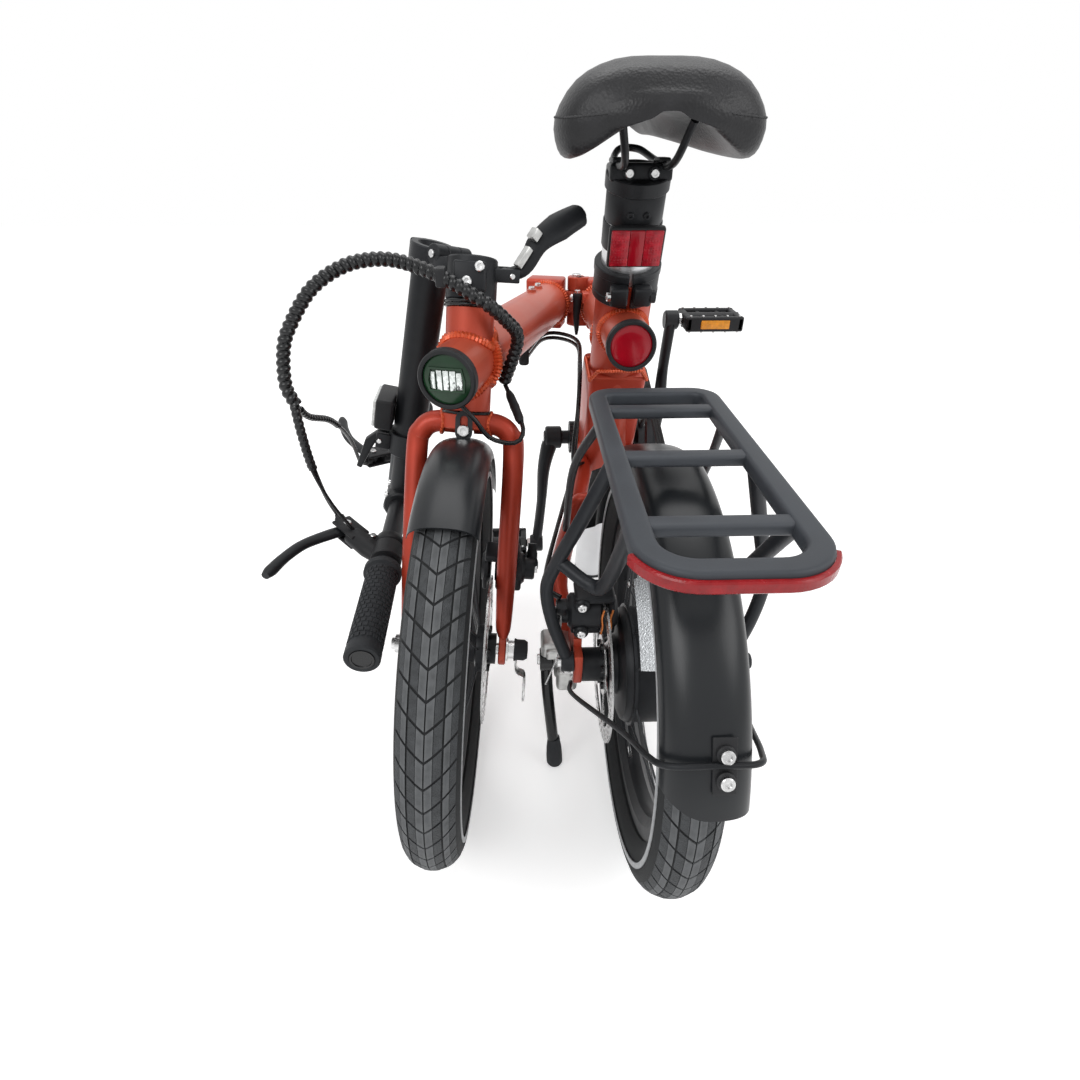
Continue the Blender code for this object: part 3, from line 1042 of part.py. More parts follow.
# Handlebar with its sliding inner tube
bar = cylinder(BAR_CENTRE - X * BAR_HALF_LENGTH, BAR_CENTRE + X * BAR_HALF_LENGTH, BAR_RADIUS, sides=14)
weld(bar, cylinder(STEM_TOP + HEAD_UP * (INNER_LOW + 0.004), BAR_CENTRE, INNER_TUBE_RADIUS, sides=16))
weld(bar, cylinder(BAR_CENTRE - X * 0.024, BAR_CENTRE + X * 0.024, BAR_RADIUS + 0.007, sides=16))
finish(bar, "handlebar", BLACK_METAL, "handlebar")
for side, word in ((1, "right"), (-1, "left")):
    outer_end = BAR_CENTRE + X * side * (BAR_HALF_LENGTH + 0.003)
    inner_end = BAR_CENTRE + X * side * (BAR_HALF_LENGTH - GRIP_LENGTH)
    grip = cylinder(inner_end, outer_end, GRIP_RADIUS, sides=16)
    weld(grip, cylinder(inner_end, inner_end + X * side * 0.008, GRIP_RADIUS + 0.003, sides=16))
    carve(grip, cylinder(inner_end - X * side * 0.01, BAR_CENTRE + X * side * (BAR_HALF_LENGTH + GAP),
                         BAR_RADIUS + GAP, sides=14))
    finish(grip, "grip_" + word, RUBBER, "handlebar")
    pivot = RIGHT_LEVER if side > 0 else LEFT_LEVER
    collar = BAR_CENTRE + X * side * (LEVER_X - 0.004)
    holder = cylinder(collar - X * 0.012, collar + X * 0.012, BAR_RADIUS + 0.005, sides=16)
    weld(holder, pipe([collar + HEAD_FORWARD * 0.010, pivot, pivot - X * side * 0.014 + HEAD_FORWARD * 0.007],
                      0.0080, 2, [1.15, 1.0, 0.85]))
    carve(holder, cylinder(collar - X * 0.03, collar + X * 0.03, BAR_RADIUS + GAP, sides=14))
    carve(holder, block(pivot + X * side * 0.006 + HEAD_FORWARD * 0.004, (0.030, 0.026, 0.0086),
                        upright(HEAD_UP)))
    weld(holder, cylinder(pivot - HEAD_UP * 0.0075, pivot + HEAD_UP * 0.0075, 0.0025, sides=10))
    finish(holder, "brake_bracket_" + word, BLACK, "handlebar")
    blade = pipe([pivot + X * side * 0.002 + HEAD_FORWARD * 0.002,
                  pivot + X * side * 0.014 + HEAD_FORWARD * 0.015,
                  pivot + X * side * 0.038 + HEAD_FORWARD * 0.036,
                  pivot + X * side * 0.064 + HEAD_FORWARD * 0.048,
                  pivot + X * side * 0.093 + HEAD_FORWARD * 0.056], 0.0040, 2, [0.95, 0.95, 1.0, 1.1, 1.3])
    weld(blade, cylinder(pivot - HEAD_UP * 0.0038, pivot + HEAD_UP * 0.0038, 0.0070, sides=12))
    carve(blade, cylinder(pivot - HEAD_UP * 0.02, pivot + HEAD_UP * 0.02, 0.0025 + GAP, sides=10))
    finish(blade, "brake_lever_" + word, BLACK_METAL, "brake_lever_" + word)
screen = block(BAR_CENTRE - X * 0.048 + HEAD_FORWARD * 0.010 - HEAD_UP * 0.020, (0.044, 0.020, 0.062),
               upright(HEAD_UP), 0.004)
weld(screen, cylinder(BAR_CENTRE - X * 0.056, BAR_CENTRE - X * 0.044, BAR_RADIUS + 0.004, sides=14))
carve(screen, cylinder(BAR_CENTRE - X * 0.09, BAR_CENTRE, BAR_RADIUS + GAP, sides=14))
finish(screen, "display", GREY, "handlebar")

# Stem latch lever, drawn where the photo shows it
paddle = [STEM_LEVER_PIVOT, (-0.113, 0.171, 0.536), (-0.0998, 0.180, 0.556), (-0.081, 0.190, 0.568),
          (-0.061, 0.200, 0.577)]
lever = pipe(smooth(paddle, 2), 0.0055, 2, [0.9, 0.9, 1.0, 1.1, 1.3, 1.4, 1.4, 1.3, 1.0])
weld(lever,
     cylinder(STEM_LEVER_PIVOT - STEM_LEVER_AXIS * 0.007, STEM_LEVER_PIVOT + STEM_LEVER_AXIS * 0.007, 0.0053,
                     sides=14))
finish(lever, "stem_lever", BLACK_METAL, "stem_lever", folded=True)

# Cables, drawn in the folded state
LOOM_POINTS = [(-0.1338, 0.160, 0.4335), (-0.1199, 0.146, 0.4777), (-0.1302, 0.128, 0.4999),
               (-0.1509, 0.116, 0.5196),
               (-0.1849, 0.128, 0.5363), (-0.2207, 0.145, 0.5460), (-0.2477, 0.150, 0.5471),
               (-0.2750, 0.150, 0.5408),
               (-0.3017, 0.140, 0.5245), (-0.3222, 0.130, 0.4971), (-0.3314, 0.125, 0.4764),
               (-0.3349, 0.120, 0.4457),
               (-0.3299, 0.120, 0.4264)]
loom_path = evenly(smooth(LOOM_POINTS, 6), LOOM_PITCH / 2)
loom = pipe(loom_path, LOOM_RADIUS, 2,
            [1.0 if i % 2 else LOOM_GROOVE / LOOM_RADIUS for i in range(len(loom_path))])
finish(loom, "cable_loom", BLACK, "fork", folded=True)


def cable(name, points, owner, radius=CABLE_RADIUS):
    path = evenly(smooth(points, 6), radius * 6.0)
    finish(pipe(path, radius, 1), name, RUBBER, owner, folded=True)


leads = pipe(evenly(smooth([(-0.3296, 0.1200, 0.4248), (-0.3270, 0.117, 0.396), (-0.3265, 0.122, 0.360),
                            (-0.3250, 0.135, 0.320), (-0.3222, 0.1500, 0.2890)], 6), CABLE_RADIUS * 6),
             CABLE_RADIUS, 1)
weld(leads, pipe(evenly(smooth([(-0.3296, 0.1200, 0.4248), (-0.3290, 0.146, 0.404), (-0.3220, 0.190, 0.382),
                                (-0.3220, 0.245, 0.338), (-0.3250, 0.2800, 0.2920)], 6), CABLE_RADIUS * 6),
                 CABLE_RADIUS * 0.9, 1))
finish(leads, "bar_leads", RUBBER, "handlebar", folded=True)
cable("lamp_lead", [(-0.1720, 0.098, 0.4313), (-0.1600, 0.094, 0.4190), (-0.1468, 0.094, 0.4010),
                    (-0.1238, 0.100, 0.3932), (-0.1159, 0.110, 0.4021), (-0.1240, 0.138, 0.4150),
                    (-0.1333, 0.1592, 0.4302)], "front_half")
cable("frame_cable", [(-0.1130, 0.350, 0.4040), (-0.0869, 0.470, 0.3985), (-0.0603, 0.490, 0.3965),
                      (-0.0370, 0.440, 0.3980), (-0.0400, 0.360, 0.3900), (-0.0440, 0.320, 0.3500),
                      (-0.0500, 0.300, 0.2700), (-0.0660, 0.235, 0.2520), (-0.0920, 0.120, 0.2340),
                      (-0.0965, 0.055, 0.2400), (-0.0985, 0.036, 0.2620), (-0.0940, 0.022, 0.2740),
                      (-0.0835, 0.014, 0.2738)], "rear_half", 0.0028)

print("front axle", FRONT_AXLE)
for name, move in moves.items():
    print("pivot", name, [round(v, 5) for v in move @ pivots[name]])
print("steer axis", [round(v, 5) for v in moves["front_half"].to_3x3() @ HEAD_UP])
print("stem axis", [round(v, 5) for v in moves["fork"].to_3x3() @ -STEM_AXIS])
print("front wheel axis", [round(v, 5) for v in moves["fork"].to_3x3() @ X])
print("post axis", [round(v, 5) for v in moves["handlepost"].to_3x3() @ HEAD_UP])
print("bar axis", [round(v, 5) for v in moves["handlepost"].to_3x3() @ X])
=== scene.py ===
"""Electric folding bicycle, folded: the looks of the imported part, in its own frame."""
import math
from math import cos, pi, radians, sin

import bmesh
import bpy
from mathutils import Matrix, Vector


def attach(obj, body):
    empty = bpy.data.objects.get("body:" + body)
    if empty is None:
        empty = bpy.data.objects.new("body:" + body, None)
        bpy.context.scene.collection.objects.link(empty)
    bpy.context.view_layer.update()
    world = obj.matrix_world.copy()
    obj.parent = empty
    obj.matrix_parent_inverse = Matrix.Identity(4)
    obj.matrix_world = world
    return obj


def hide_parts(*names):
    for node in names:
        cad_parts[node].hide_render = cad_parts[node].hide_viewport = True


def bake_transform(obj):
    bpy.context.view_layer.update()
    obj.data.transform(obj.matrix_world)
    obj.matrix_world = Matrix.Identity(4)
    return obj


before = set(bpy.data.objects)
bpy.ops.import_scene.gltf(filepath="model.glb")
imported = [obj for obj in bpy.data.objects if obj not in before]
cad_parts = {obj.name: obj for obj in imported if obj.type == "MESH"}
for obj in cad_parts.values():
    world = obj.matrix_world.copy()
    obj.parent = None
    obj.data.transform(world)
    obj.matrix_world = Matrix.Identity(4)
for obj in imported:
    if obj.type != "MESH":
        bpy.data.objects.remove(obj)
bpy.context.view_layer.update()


def vec(x, y, z):
    return Vector((x, y, z))


X, Y, Z = vec(1, 0, 0), vec(0, 1, 0), vec(0, 0, 1)

# Sizes repeated from the part, in metres; the front pieces are drawn as ridden and folded by these turns
AXLE = vec(0, 0, 0.20152)
BRACKET = vec(0, 0.419, 0.262)
SEAT_LEAN = radians(18.1)
SEAT_FOOT = 0.449  # y where the seat tube's axis meets the floor
SEAT_UP = vec(0, -sin(SEAT_LEAN), cos(SEAT_LEAN))
SEAT_BACK = vec(0, -cos(SEAT_LEAN), -sin(SEAT_LEAN))
PIN = vec(-0.0358, 0.509, 0)
TUBE_Z = 0.4385
TILT = radians(18.0)
HEAD_UP = vec(0, -sin(TILT), cos(TILT))
AHEAD = vec(0, cos(TILT), sin(TILT))
HEAD = vec(0, 0.896, 0.4595)
FRONT_AXLE = vec(0, 1.0125, 0.202)
STEM_PIVOT = vec(0.0225, 0.8502, 0.5424)
STEM_AXIS = vec(0.6726, 0.7217, 0.1637).normalized()
STEM_HIGH, POST_LONG = 0.545, 0.288
STEM_TOP = HEAD + HEAD_UP * ((STEM_HIGH - HEAD.z) / HEAD_UP.z)
BAR = STEM_TOP + HEAD_UP * POST_LONG
STAND = vec(-0.095, 0.052, 0.16)
LATCH = vec(PIN.x - 0.0025, PIN.y - 0.046, TUBE_Z + 0.013)
TAIL = vec(0, 0.212, 0.452)
HEAD_LAMP = vec(0, 0.959, 0.46)
RACK_MID = 0.4405
FOLD_TURN, STEER_TURN, STEM_TURN = 165.6, 13.2, 160.28  # degrees, from ridden to folded


def turned_about(point, axis, degrees):
    """The turn about an axis through a point."""
    turn = Matrix.Rotation(radians(degrees), 4, axis)
    return Matrix.Translation(point) @ turn @ Matrix.Translation(-point)


STILL = Matrix()
FRONT = turned_about(PIN, Z, FOLD_TURN)
FORK = FRONT @ turned_about(HEAD, HEAD_UP, STEER_TURN)
POST = FORK @ turned_about(STEM_PIVOT, STEM_AXIS, STEM_TURN)


def seat(along):
    """A point on the seat tube's axis, measured up it from the floor."""
    return vec(0, SEAT_FOOT, 0) + SEAT_UP * along


def head(along):
    """A point on the steering axis, measured up it from the head tube's middle."""
    return HEAD + HEAD_UP * along


# Camera of the photo
camera = bpy.data.objects.new("camera", bpy.data.cameras.new("camera"))
bpy.context.scene.collection.objects.link(camera)
camera.data.sensor_width = 36.0
camera.data.lens = 20.66
camera.data.clip_start = 0.01
camera.matrix_world = Matrix(((0.99956, 0.01598, -0.02499, -0.1165), (-0.02967, 0.53853, -0.84208, -0.4466),
    (0.0, 0.84245, 0.53877, 0.633), (0, 0, 0, 1)))
bpy.context.scene.camera = camera
bpy.context.scene.view_settings.view_transform = "Standard"


# Mesh helpers: each adds one closed form to a bmesh
def upright(direction):
    """The turn that takes the Z axis to a direction."""
    return Z.rotation_difference(Vector(direction)).to_matrix().to_4x4()


def rings(bm, rows, loop=True, cap=True, close=False):
    """Faces between rows of points; loop joins each row's ends, close joins the last row to the first."""
    made = [[bm.verts.new(p) for p in row] for row in rows]
    count = len(rows[0])
    pairs = list(zip(made, made[1:])) + ([(made[-1], made[0])] if close else [])
    for one, two in pairs:
        for i in range(count if loop else count - 1):
            j = (i + 1) % count
            bm.faces.new((one[i], one[j], two[j], two[i]))
    if cap and not close:
        bm.faces.new(list(reversed(made[0])))
        bm.faces.new(made[-1])


def frames(path, closed=False, up=None):
    """Unit side and up vectors along a path, carried along it without twist."""
    count = len(path)
    tangents = []
    for i in range(count):
        before = path[i - 1] if closed or i else path[0]
        after = path[(i + 1) % count] if closed or i < count - 1 else path[-1]
        tangents.append((after - before).normalized())
    side = (up or vec(0.31, 0.27, 0.91)).cross(tangents[0])
    if side.length < 1e-4:
        side = X.cross(tangents[0])
    found = []
    for t in tangents:
        side = (side - t * side.dot(t)).normalized()
        found.append((side, t.cross(side)))
    return found


def tube(bm, path, radius, sides=20, flat=1.0, up=None, closed=False, cap=True):
    """A tube along a path; radius may be a list, and flat scales its height against its width."""
    path = [Vector(p) for p in path]
    radii = radius if isinstance(radius, (list, tuple)) else [radius] * len(path)
    flats = flat if isinstance(flat, (list, tuple)) else [flat] * len(path)
    rows = []
    for p, r, f, (side, over) in zip(path, radii, flats, frames(path, closed, up)):
        rows.append([p + side * (r * u) + over * (r * f * v) for u, v in circle(1.0, sides)])
    rings(bm, rows, True, cap, closed)


def rod(bm, start, end, radius, sides=24, edge=0.0006):
    """A round bar with softened ends."""
    start, end = Vector(start), Vector(end)
    along = (end - start).normalized()
    edge = min(edge, radius * 0.6)
    tube(bm, [start, start + along * edge, end - along * edge, end],
        [radius - edge, radius, radius, radius - edge], sides)


ON_AXIS = 1e-5  # smallest radius of a turned form, where its profile meets the axis


def lathe(bm, profile, centre, axis, steps=48, closed=False):
    """A profile of (radius, height) pairs turned about an axis; an open one starts and ends on the axis."""
    where = Matrix.Translation(centre) @ upright(axis)
    rows = []
    for r, h in profile:
        rows.append([where @ vec(u, v, h) for u, v in circle(max(r, ON_AXIS), steps)])
    rings(bm, rows, True, not closed, closed)


def add(bm, part, width, segments):
    """Rounds the sharp edges of a finished form and adds it to another."""
    bmesh.ops.recalc_face_normals(part, faces=part.faces)
    edges = [e for e in part.edges if e.calc_face_angle(0.0) > 0.5]
    if edges and width > 0:
        bmesh.ops.bevel(part, geom=edges, offset=width, segments=segments, profile=0.5, affect="EDGES",
            clamp_overlap=True)
    mesh = bpy.data.meshes.new("form")
    part.to_mesh(mesh)
    part.free()
    bm.from_mesh(mesh)
    bpy.data.meshes.remove(mesh)


def cuboid(bm, centre, size, turn=None, edge=0.0008, segments=2):
    """A turned block with rounded edges."""
    part = bmesh.new()
    where = Matrix.Translation(Vector(centre)) @ (turn or Matrix()) @ Matrix.Diagonal((*size, 1.0))
    bmesh.ops.create_cube(part, size=1.0, matrix=where)
    add(bm, part, edge, segments)


def box(bm, low, high, edge=0.0008, segments=2):
    """A level block between two corners."""
    low, high = Vector(low), Vector(high)
    cuboid(bm, (low + high) / 2, high - low, None, edge, segments)


def prism(bm, outline, low, high, where=None, edge=0.0008, segments=2):
    """A flat outline drawn out from low to high along the third axis of where."""
    part = bmesh.new()
    where = where or Matrix()
    rings(part, [[where @ vec(u, v, h) for u, v in outline] for h in (low, high)])
    add(bm, part, edge, segments)


def ring_plate(bm, outer, inner, low, high, where=None):
    """A flat ring between two outlines of the same number of points."""
    where = where or Matrix()
    rows = [[where @ vec(u, v, h) for u, v in line] for line, h in ((outer, low), (outer, high), (inner, high),
        (inner, low))]
    rings(bm, rows, True, False, True)


def bolt(bm, centre, axis, radius=0.004, height=0.004):
    """A socket screw head standing on a face."""
    lathe(bm, [(0, 0), (radius, 0), (radius, height * 0.8), (radius * 0.85, height), (radius * 0.52, height),
        (radius * 0.48, height * 0.45), (0, height * 0.4)], centre, axis, 20)


def circle(radius, count):
    """Points round a circle, as pairs."""
    angles = [2 * pi * i / count for i in range(count)]
    return [(radius * cos(a), radius * sin(a)) for a in angles]


def arc(centre, radius, first, last, count):
    """Points along an arc from one angle to another, in degrees."""
    angles = [radians(first + (last - first) * i / (count - 1)) for i in range(count)]
    return [(centre[0] + radius * cos(a), centre[1] + radius * sin(a)) for a in angles]


def drum(radius, height):
    """Profile of a plain cylinder that stands on its foot."""
    return [(0, 0), (radius, 0), (radius, height), (0, height)]


def sleeve(inner, outer, low, high, edge, rise):
    """Profile of a ring, or of a solid disc where inner is 0, with its outer corners cut by edge and rise."""
    return [(inner, low), (outer - edge, low), (outer, low + rise), (outer, high - rise), (outer - edge, high),
        (inner, high)]


def mirrored(half):
    """A row of points, then its image on the other side of the middle plane."""
    return half + [(-x, y, z) for x, y, z in reversed(half)]


def smooth(points, steps):
    """A Catmull-Rom curve through the points, with this many steps between each two."""
    points = [Vector(p) for p in points]
    ends = [2 * points[0] - points[1]] + points + [2 * points[-1] - points[-2]]
    found = []
    for i in range(1, len(ends) - 2):
        a, b, c, d = ends[i - 1:i + 3]
        for k in range(steps):
            t = k / steps
            found.append(0.5 * (2 * b + (c - a) * t + (2 * a - 5 * b + 4 * c - d) * t * t
                + (3 * b - a - 3 * c + d) * t ** 3))
    return found + [points[-1]]


def evenly(points, spacing):
    """The path through the points as points this far apart, with the exact ends."""
    lengths = [0.0]
    for a, b in zip(points, points[1:]):
        lengths.append(lengths[-1] + (b - a).length)
    count = max(2, round(lengths[-1] / spacing))
    found = []
    i = 0
    for k in range(count + 1):
        along = lengths[-1] * k / count
        while i < len(points) - 2 and lengths[i + 1] < along:
            i += 1
        found.append(points[i].lerp(points[i + 1], min(1.0, (along - lengths[i]) / (lengths[i + 1]
            - lengths[i]))))
    return found


def seam(start, along, radius, line, axis, wall, count=72):
    """Where a round bar of this radius that runs along a direction leaves a round wall about another line."""
    along, axis = Vector(along).normalized(), Vector(axis).normalized()
    turn = upright(along)
    found = []
    for u, v in circle(radius, count):
        base = Vector(start) + turn @ vec(u, v, 0)
        p = base - Vector(line)
        p = p - axis * p.dot(axis)
        d = along - axis * along.dot(axis)
        a, b, c = d.dot(d), p.dot(d), p.dot(p) - wall * wall
        found.append(base + along * ((-b + math.sqrt(max(0.0, b * b - a * c))) / a))
    return found


def bead(bm, path, radius=0.0028, pitch=0.0032):
    """A rippled weld bead round a closed path."""
    path = evenly([Vector(p) for p in path] + [Vector(path[0])], pitch / 4)[:-1]
    radii = [radius * (1.0 + 0.16 * cos(2 * pi * i / 4)) for i in range(len(path))]
    tube(bm, path, radii, 8, 1.0, None, True)


def make(bm, name, material, body, move=STILL, stands_for=(), limit=35):
    """Turns a bmesh into a piece that rides on a body."""
    bmesh.ops.transform(bm, matrix=move, verts=bm.verts)
    bmesh.ops.recalc_face_normals(bm, faces=bm.faces)
    for face in bm.faces:
        face.smooth = True
    for edge in bm.edges:
        edge.smooth = edge.calc_face_angle(0.0) < radians(limit)
    mesh = bpy.data.meshes.new(name)
    bm.to_mesh(mesh)
    bm.free()
    mesh.materials.append(material)
    obj = bpy.data.objects.new(name, mesh)
    bpy.context.scene.collection.objects.link(obj)
    if body:
        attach(obj, body)
    if stands_for:
        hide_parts(*stands_for)
    return obj


def build(piece, *forms):
    """A piece from what make is told and its forms, each a mesh helper and the values it takes."""
    bm = bmesh.new()
    for shape, *values in forms:
        shape(bm, *values)
    return make(bm, *piece)


# Materials: noise drives colour, roughness and a fine bump; edges wear by the mesh's own corners
def node(tree, kind, **values):
    """A new shader node with these settings."""
    made = tree.nodes.new(kind)
    for key, value in values.items():
        setattr(made, key, value)
    return made


def surface(name, colour, rough, metal=0.0, shade=0.18, scale=60.0, grain=900.0, bump=0.12, coat=0.0,
        wear=None, pattern=None, shine=0.3):
    """A Principled material. pattern names a texture for the bump: noise, cells, hex or weave."""
    material = bpy.data.materials.new(name)
    material.use_nodes = True
    tree = material.node_tree
    shader = tree.nodes["Principled BSDF"]
    shader.inputs["Metallic"].default_value = metal
    shader.inputs["Coat Weight"].default_value = coat
    shader.inputs["Specular IOR Level"].default_value = shine
    shader.inputs["Coat Roughness"].default_value = 0.12
    where = node(tree, "ShaderNodeTexCoord").outputs["Object"]
    cloud = node(tree, "ShaderNodeTexNoise")
    cloud.inputs["Scale"].default_value = scale
    cloud.inputs["Detail"].default_value = 5.0
    tree.links.new(where, cloud.inputs["Vector"])
    ramp = node(tree, "ShaderNodeValToRGB")
    ramp.color_ramp.elements[0].position = 0.3
    ramp.color_ramp.elements[1].position = 0.72
    ramp.color_ramp.elements[0].color = (*[c * (1 - shade) for c in colour], 1)
    ramp.color_ramp.elements[1].color = (*[min(1.0, c * (1 + shade)) for c in colour], 1)
    tree.links.new(cloud.outputs["Fac"], ramp.inputs["Fac"])
    colour_out = ramp.outputs["Color"]
    if wear:
        corner = node(tree, "ShaderNodeNewGeometry").outputs["Pointiness"]
        edge = node(tree, "ShaderNodeMapRange")
        edge.inputs["From Min"].default_value = 0.54
        edge.inputs["From Max"].default_value = 0.62
        edge.inputs["To Max"].default_value = 0.55
        tree.links.new(corner, edge.inputs["Value"])
        mix = node(tree, "ShaderNodeMix", data_type="RGBA")
        tree.links.new(edge.outputs["Result"], mix.inputs["Factor"])
        tree.links.new(colour_out, mix.inputs["A"])
        mix.inputs["B"].default_value = (*wear, 1)
        colour_out = mix.outputs["Result"]
    tree.links.new(colour_out, shader.inputs["Base Color"])
    spread = node(tree, "ShaderNodeMapRange")
    spread.inputs["To Min"].default_value = max(0.05, rough - 0.08)
    spread.inputs["To Max"].default_value = min(1.0, rough + 0.1)
    tree.links.new(cloud.outputs["Fac"], spread.inputs["Value"])
    tree.links.new(spread.outputs["Result"], shader.inputs["Roughness"])
    if pattern == "cells":
        fine = node(tree, "ShaderNodeTexVoronoi")
        height = fine.outputs["Distance"]
    elif pattern == "hex":
        fine = node(tree, "ShaderNodeTexVoronoi", feature="DISTANCE_TO_EDGE")
        fine.inputs["Randomness"].default_value = 0.0
        height = fine.outputs["Distance"]
    elif pattern == "weave":
        fine = node(tree, "ShaderNodeTexWave", bands_direction="DIAGONAL")
        height = fine.outputs["Fac"]
    else:
        fine = node(tree, "ShaderNodeTexNoise")
        height = fine.outputs["Fac"]
    fine.inputs["Scale"].default_value = grain
    tree.links.new(where, fine.inputs["Vector"])
    relief = node(tree, "ShaderNodeBump")
    relief.inputs["Strength"].default_value = bump
    relief.inputs["Distance"].default_value = 0.0006
    tree.links.new(height, relief.inputs["Height"])
    tree.links.new(relief.outputs["Normal"], shader.inputs["Normal"])
    return material


# name, colour, roughness, metal, shade, cloud scale, grain scale, bump
PAINT = surface("orange_red_paint", (0.4, 0.04, 0.018), 0.42, 0.3, 0.1, 25, 2600, 0.06,
    coat=0.12, wear=(0.58, 0.13, 0.07))
WELD = surface("weld_paint", (0.56, 0.08, 0.024), 0.34, 0.35, 0.16, 180, 1500, 0.15, coat=0.2)
BLACK = surface("black_anodised", (0.012, 0.013, 0.015), 0.42, 0.2, 0.25, 40, 2200, 0.07,
    wear=(0.05, 0.052, 0.056), shine=0.24)
GLOSS = surface("black_gloss", (0.007, 0.0075, 0.0085), 0.24, 0.0, 0.25, 45, 1400, 0.05,
    shine=0.38)
PLASTIC = surface("black_moulded", (0.012, 0.0125, 0.014), 0.48, 0.0, 0.2, 80, 1800, 0.18,
    wear=(0.035, 0.035, 0.037), shine=0.24)
GUARD = surface("mudguard_black", (0.011, 0.0125, 0.0145), 0.3, 0.0, 0.16, 18, 1500, 0.05,
    shine=0.32)
RUBBER = surface("soft_rubber", (0.026, 0.028, 0.031), 0.72, 0.0, 0.2, 120, 1300, 0.25)
# The casing's rubber is darker than the pads: partly the rubber's own colour, partly painted shade, so the
# grooves between the pads read dark
TYRE_AND_GROOVE_SHADE = surface("tyre_rubber", (0.02, 0.021, 0.022), 0.74, 0.0, 0.22, 90, 1600, 0.35, shine=0.2)
TREAD = surface("tread_pads", (0.085, 0.089, 0.093), 0.66, 0.0, 0.25, 130, 1400, 0.3,
    wear=(0.14, 0.145, 0.15))
KNIT = surface("tread_texture", (0.048, 0.051, 0.054), 0.72, 0.0, 0.25, 150, 620, 0.9,
    pattern="cells")
STRIPE = surface("sidewall_stripe", (0.42, 0.43, 0.44), 0.5, 0.0, 0.15, 200, 1600, 0.3)
RACK = surface("rack_satin", (0.042, 0.047, 0.055), 0.48, 0.15, 0.12, 30, 2400, 0.08,
    wear=(0.1, 0.105, 0.115))
# The stays' satin is the rack's own satin made darker: painted shade on the stays
RACK_STAY_SHADE = surface("rack_stay_satin", (0.02, 0.022, 0.026), 0.44, 0.15, 0.14, 30, 2400, 0.08)
STEEL = surface("bright_steel", (0.62, 0.62, 0.62), 0.26, 1.0, 0.12, 90, 1800, 0.06)
ALLOY = surface("cast_alloy", (0.46, 0.46, 0.45), 0.36, 0.9, 0.22, 120, 1100, 0.2,
    wear=(0.7, 0.7, 0.69))
SILVER = surface("post_silver", (0.66, 0.67, 0.68), 0.3, 0.85, 0.08, 14, 2400, 0.05)
RED_LENS = surface("red_lens", (0.33, 0.003, 0.012), 0.16, 0.0, 0.15, 40, 500, 0.05, coat=0.12)
RED_PRISM = surface("red_prism", (0.4, 0.008, 0.02), 0.2, 0.0, 0.3, 160, 330, 0.9, coat=0.15,
    pattern="hex")
RED_TAPE = surface("red_tape", (0.27, 0.006, 0.009), 0.24, 0.0, 0.2, 120, 420, 0.3, coat=0.1,
    pattern="hex")
AMBER = surface("amber_prism", (0.8, 0.3, 0.015), 0.22, 0.0, 0.2, 200, 420, 0.9, coat=0.2,
    pattern="hex")
CLEAR = surface("clear_prism", (0.7, 0.72, 0.71), 0.18, 0.1, 0.2, 220, 380, 0.7, coat=0.5,
    pattern="hex")
LAMP_FACE = surface("lamp_face", (0.01, 0.04, 0.016), 0.22, 0.0, 0.25, 30, 900, 0.05, coat=0.1)
GLASS = surface("lamp_mirror", (0.72, 0.76, 0.74), 0.12, 0.75, 0.25, 320, 300, 0.6, coat=0.3,
    pattern="cells")
GREY = surface("grey_plastic", (0.12, 0.125, 0.13), 0.45, 0.0, 0.12, 90, 1500, 0.15)
SCREEN = surface("dark_screen", (0.012, 0.014, 0.016), 0.1, 0.0, 0.2, 40, 900, 0.03, coat=0.3)
LEATHER = surface("saddle_cover", (0.014, 0.014, 0.0155), 0.4, 0.0, 0.25, 60, 420, 0.4,
    pattern="cells")
THREAD = surface("saddle_thread", (0.05, 0.05, 0.052), 0.7, 0.0, 0.2, 200, 900, 0.4,
    pattern="weave")
CABLE = surface("cable_sheath", (0.007, 0.007, 0.008), 0.26, 0.0, 0.2, 80, 1500, 0.08)
BELT = surface("belt_rubber", (0.012, 0.012, 0.013), 0.62, 0.0, 0.2, 90, 700, 0.5,
    pattern="weave")
COPPER = surface("copper_spring", (0.62, 0.2, 0.06), 0.3, 0.9, 0.2, 200, 900, 0.1)
SPARKLE = surface("reflective_strip", (0.62, 0.64, 0.66), 0.25, 0.6, 0.2, 520, 900, 0.6,
    pattern="cells")

# Light: a soft even sky, one broad lamp over each shoulder of the camera and one behind
world = bpy.data.worlds.new("studio")
bpy.context.scene.world = world
world.use_nodes = True
sky = world.node_tree
back = sky.nodes["Background"]


def seen_as(tree, unseen, seen, socket):
    """Sets a socket to one value for the light that falls on things and to another for what is seen."""
    rays = node(tree, "ShaderNodeLightPath").outputs
    found = rays["Is Camera Ray"]
    for kind in ("Is Glossy Ray", "Is Transmission Ray"):
        more = node(tree, "ShaderNodeMath", operation="MAXIMUM")
        tree.links.new(found, more.inputs[0])
        tree.links.new(rays[kind], more.inputs[1])
        found = more.outputs["Value"]
    level = node(tree, "ShaderNodeMapRange")
    level.inputs["To Min"].default_value = unseen
    level.inputs["To Max"].default_value = seen
    tree.links.new(found, level.inputs["Value"])
    tree.links.new(level.outputs["Result"], socket)


SKY_LIGHT, SKY_SEEN, FLOOR_GLOW = 0.62, 1.0, 0.4
seen_as(sky, SKY_LIGHT, SKY_SEEN, back.inputs["Strength"])
back.inputs["Color"].default_value = (1, 1, 1, 1)


def lamp(name, place, target, size, power):
    """A broad soft lamp that faces a target."""
    light = bpy.data.lights.new(name, "AREA")
    light.shape = "RECTANGLE"
    light.size = size
    light.size_y = size * 0.7
    light.energy = power
    obj = bpy.data.objects.new(name, light)
    bpy.context.scene.collection.objects.link(obj)
    obj.location = place
    obj.rotation_euler = (Vector(target) - Vector(place)).to_track_quat("-Z", "Y").to_euler()


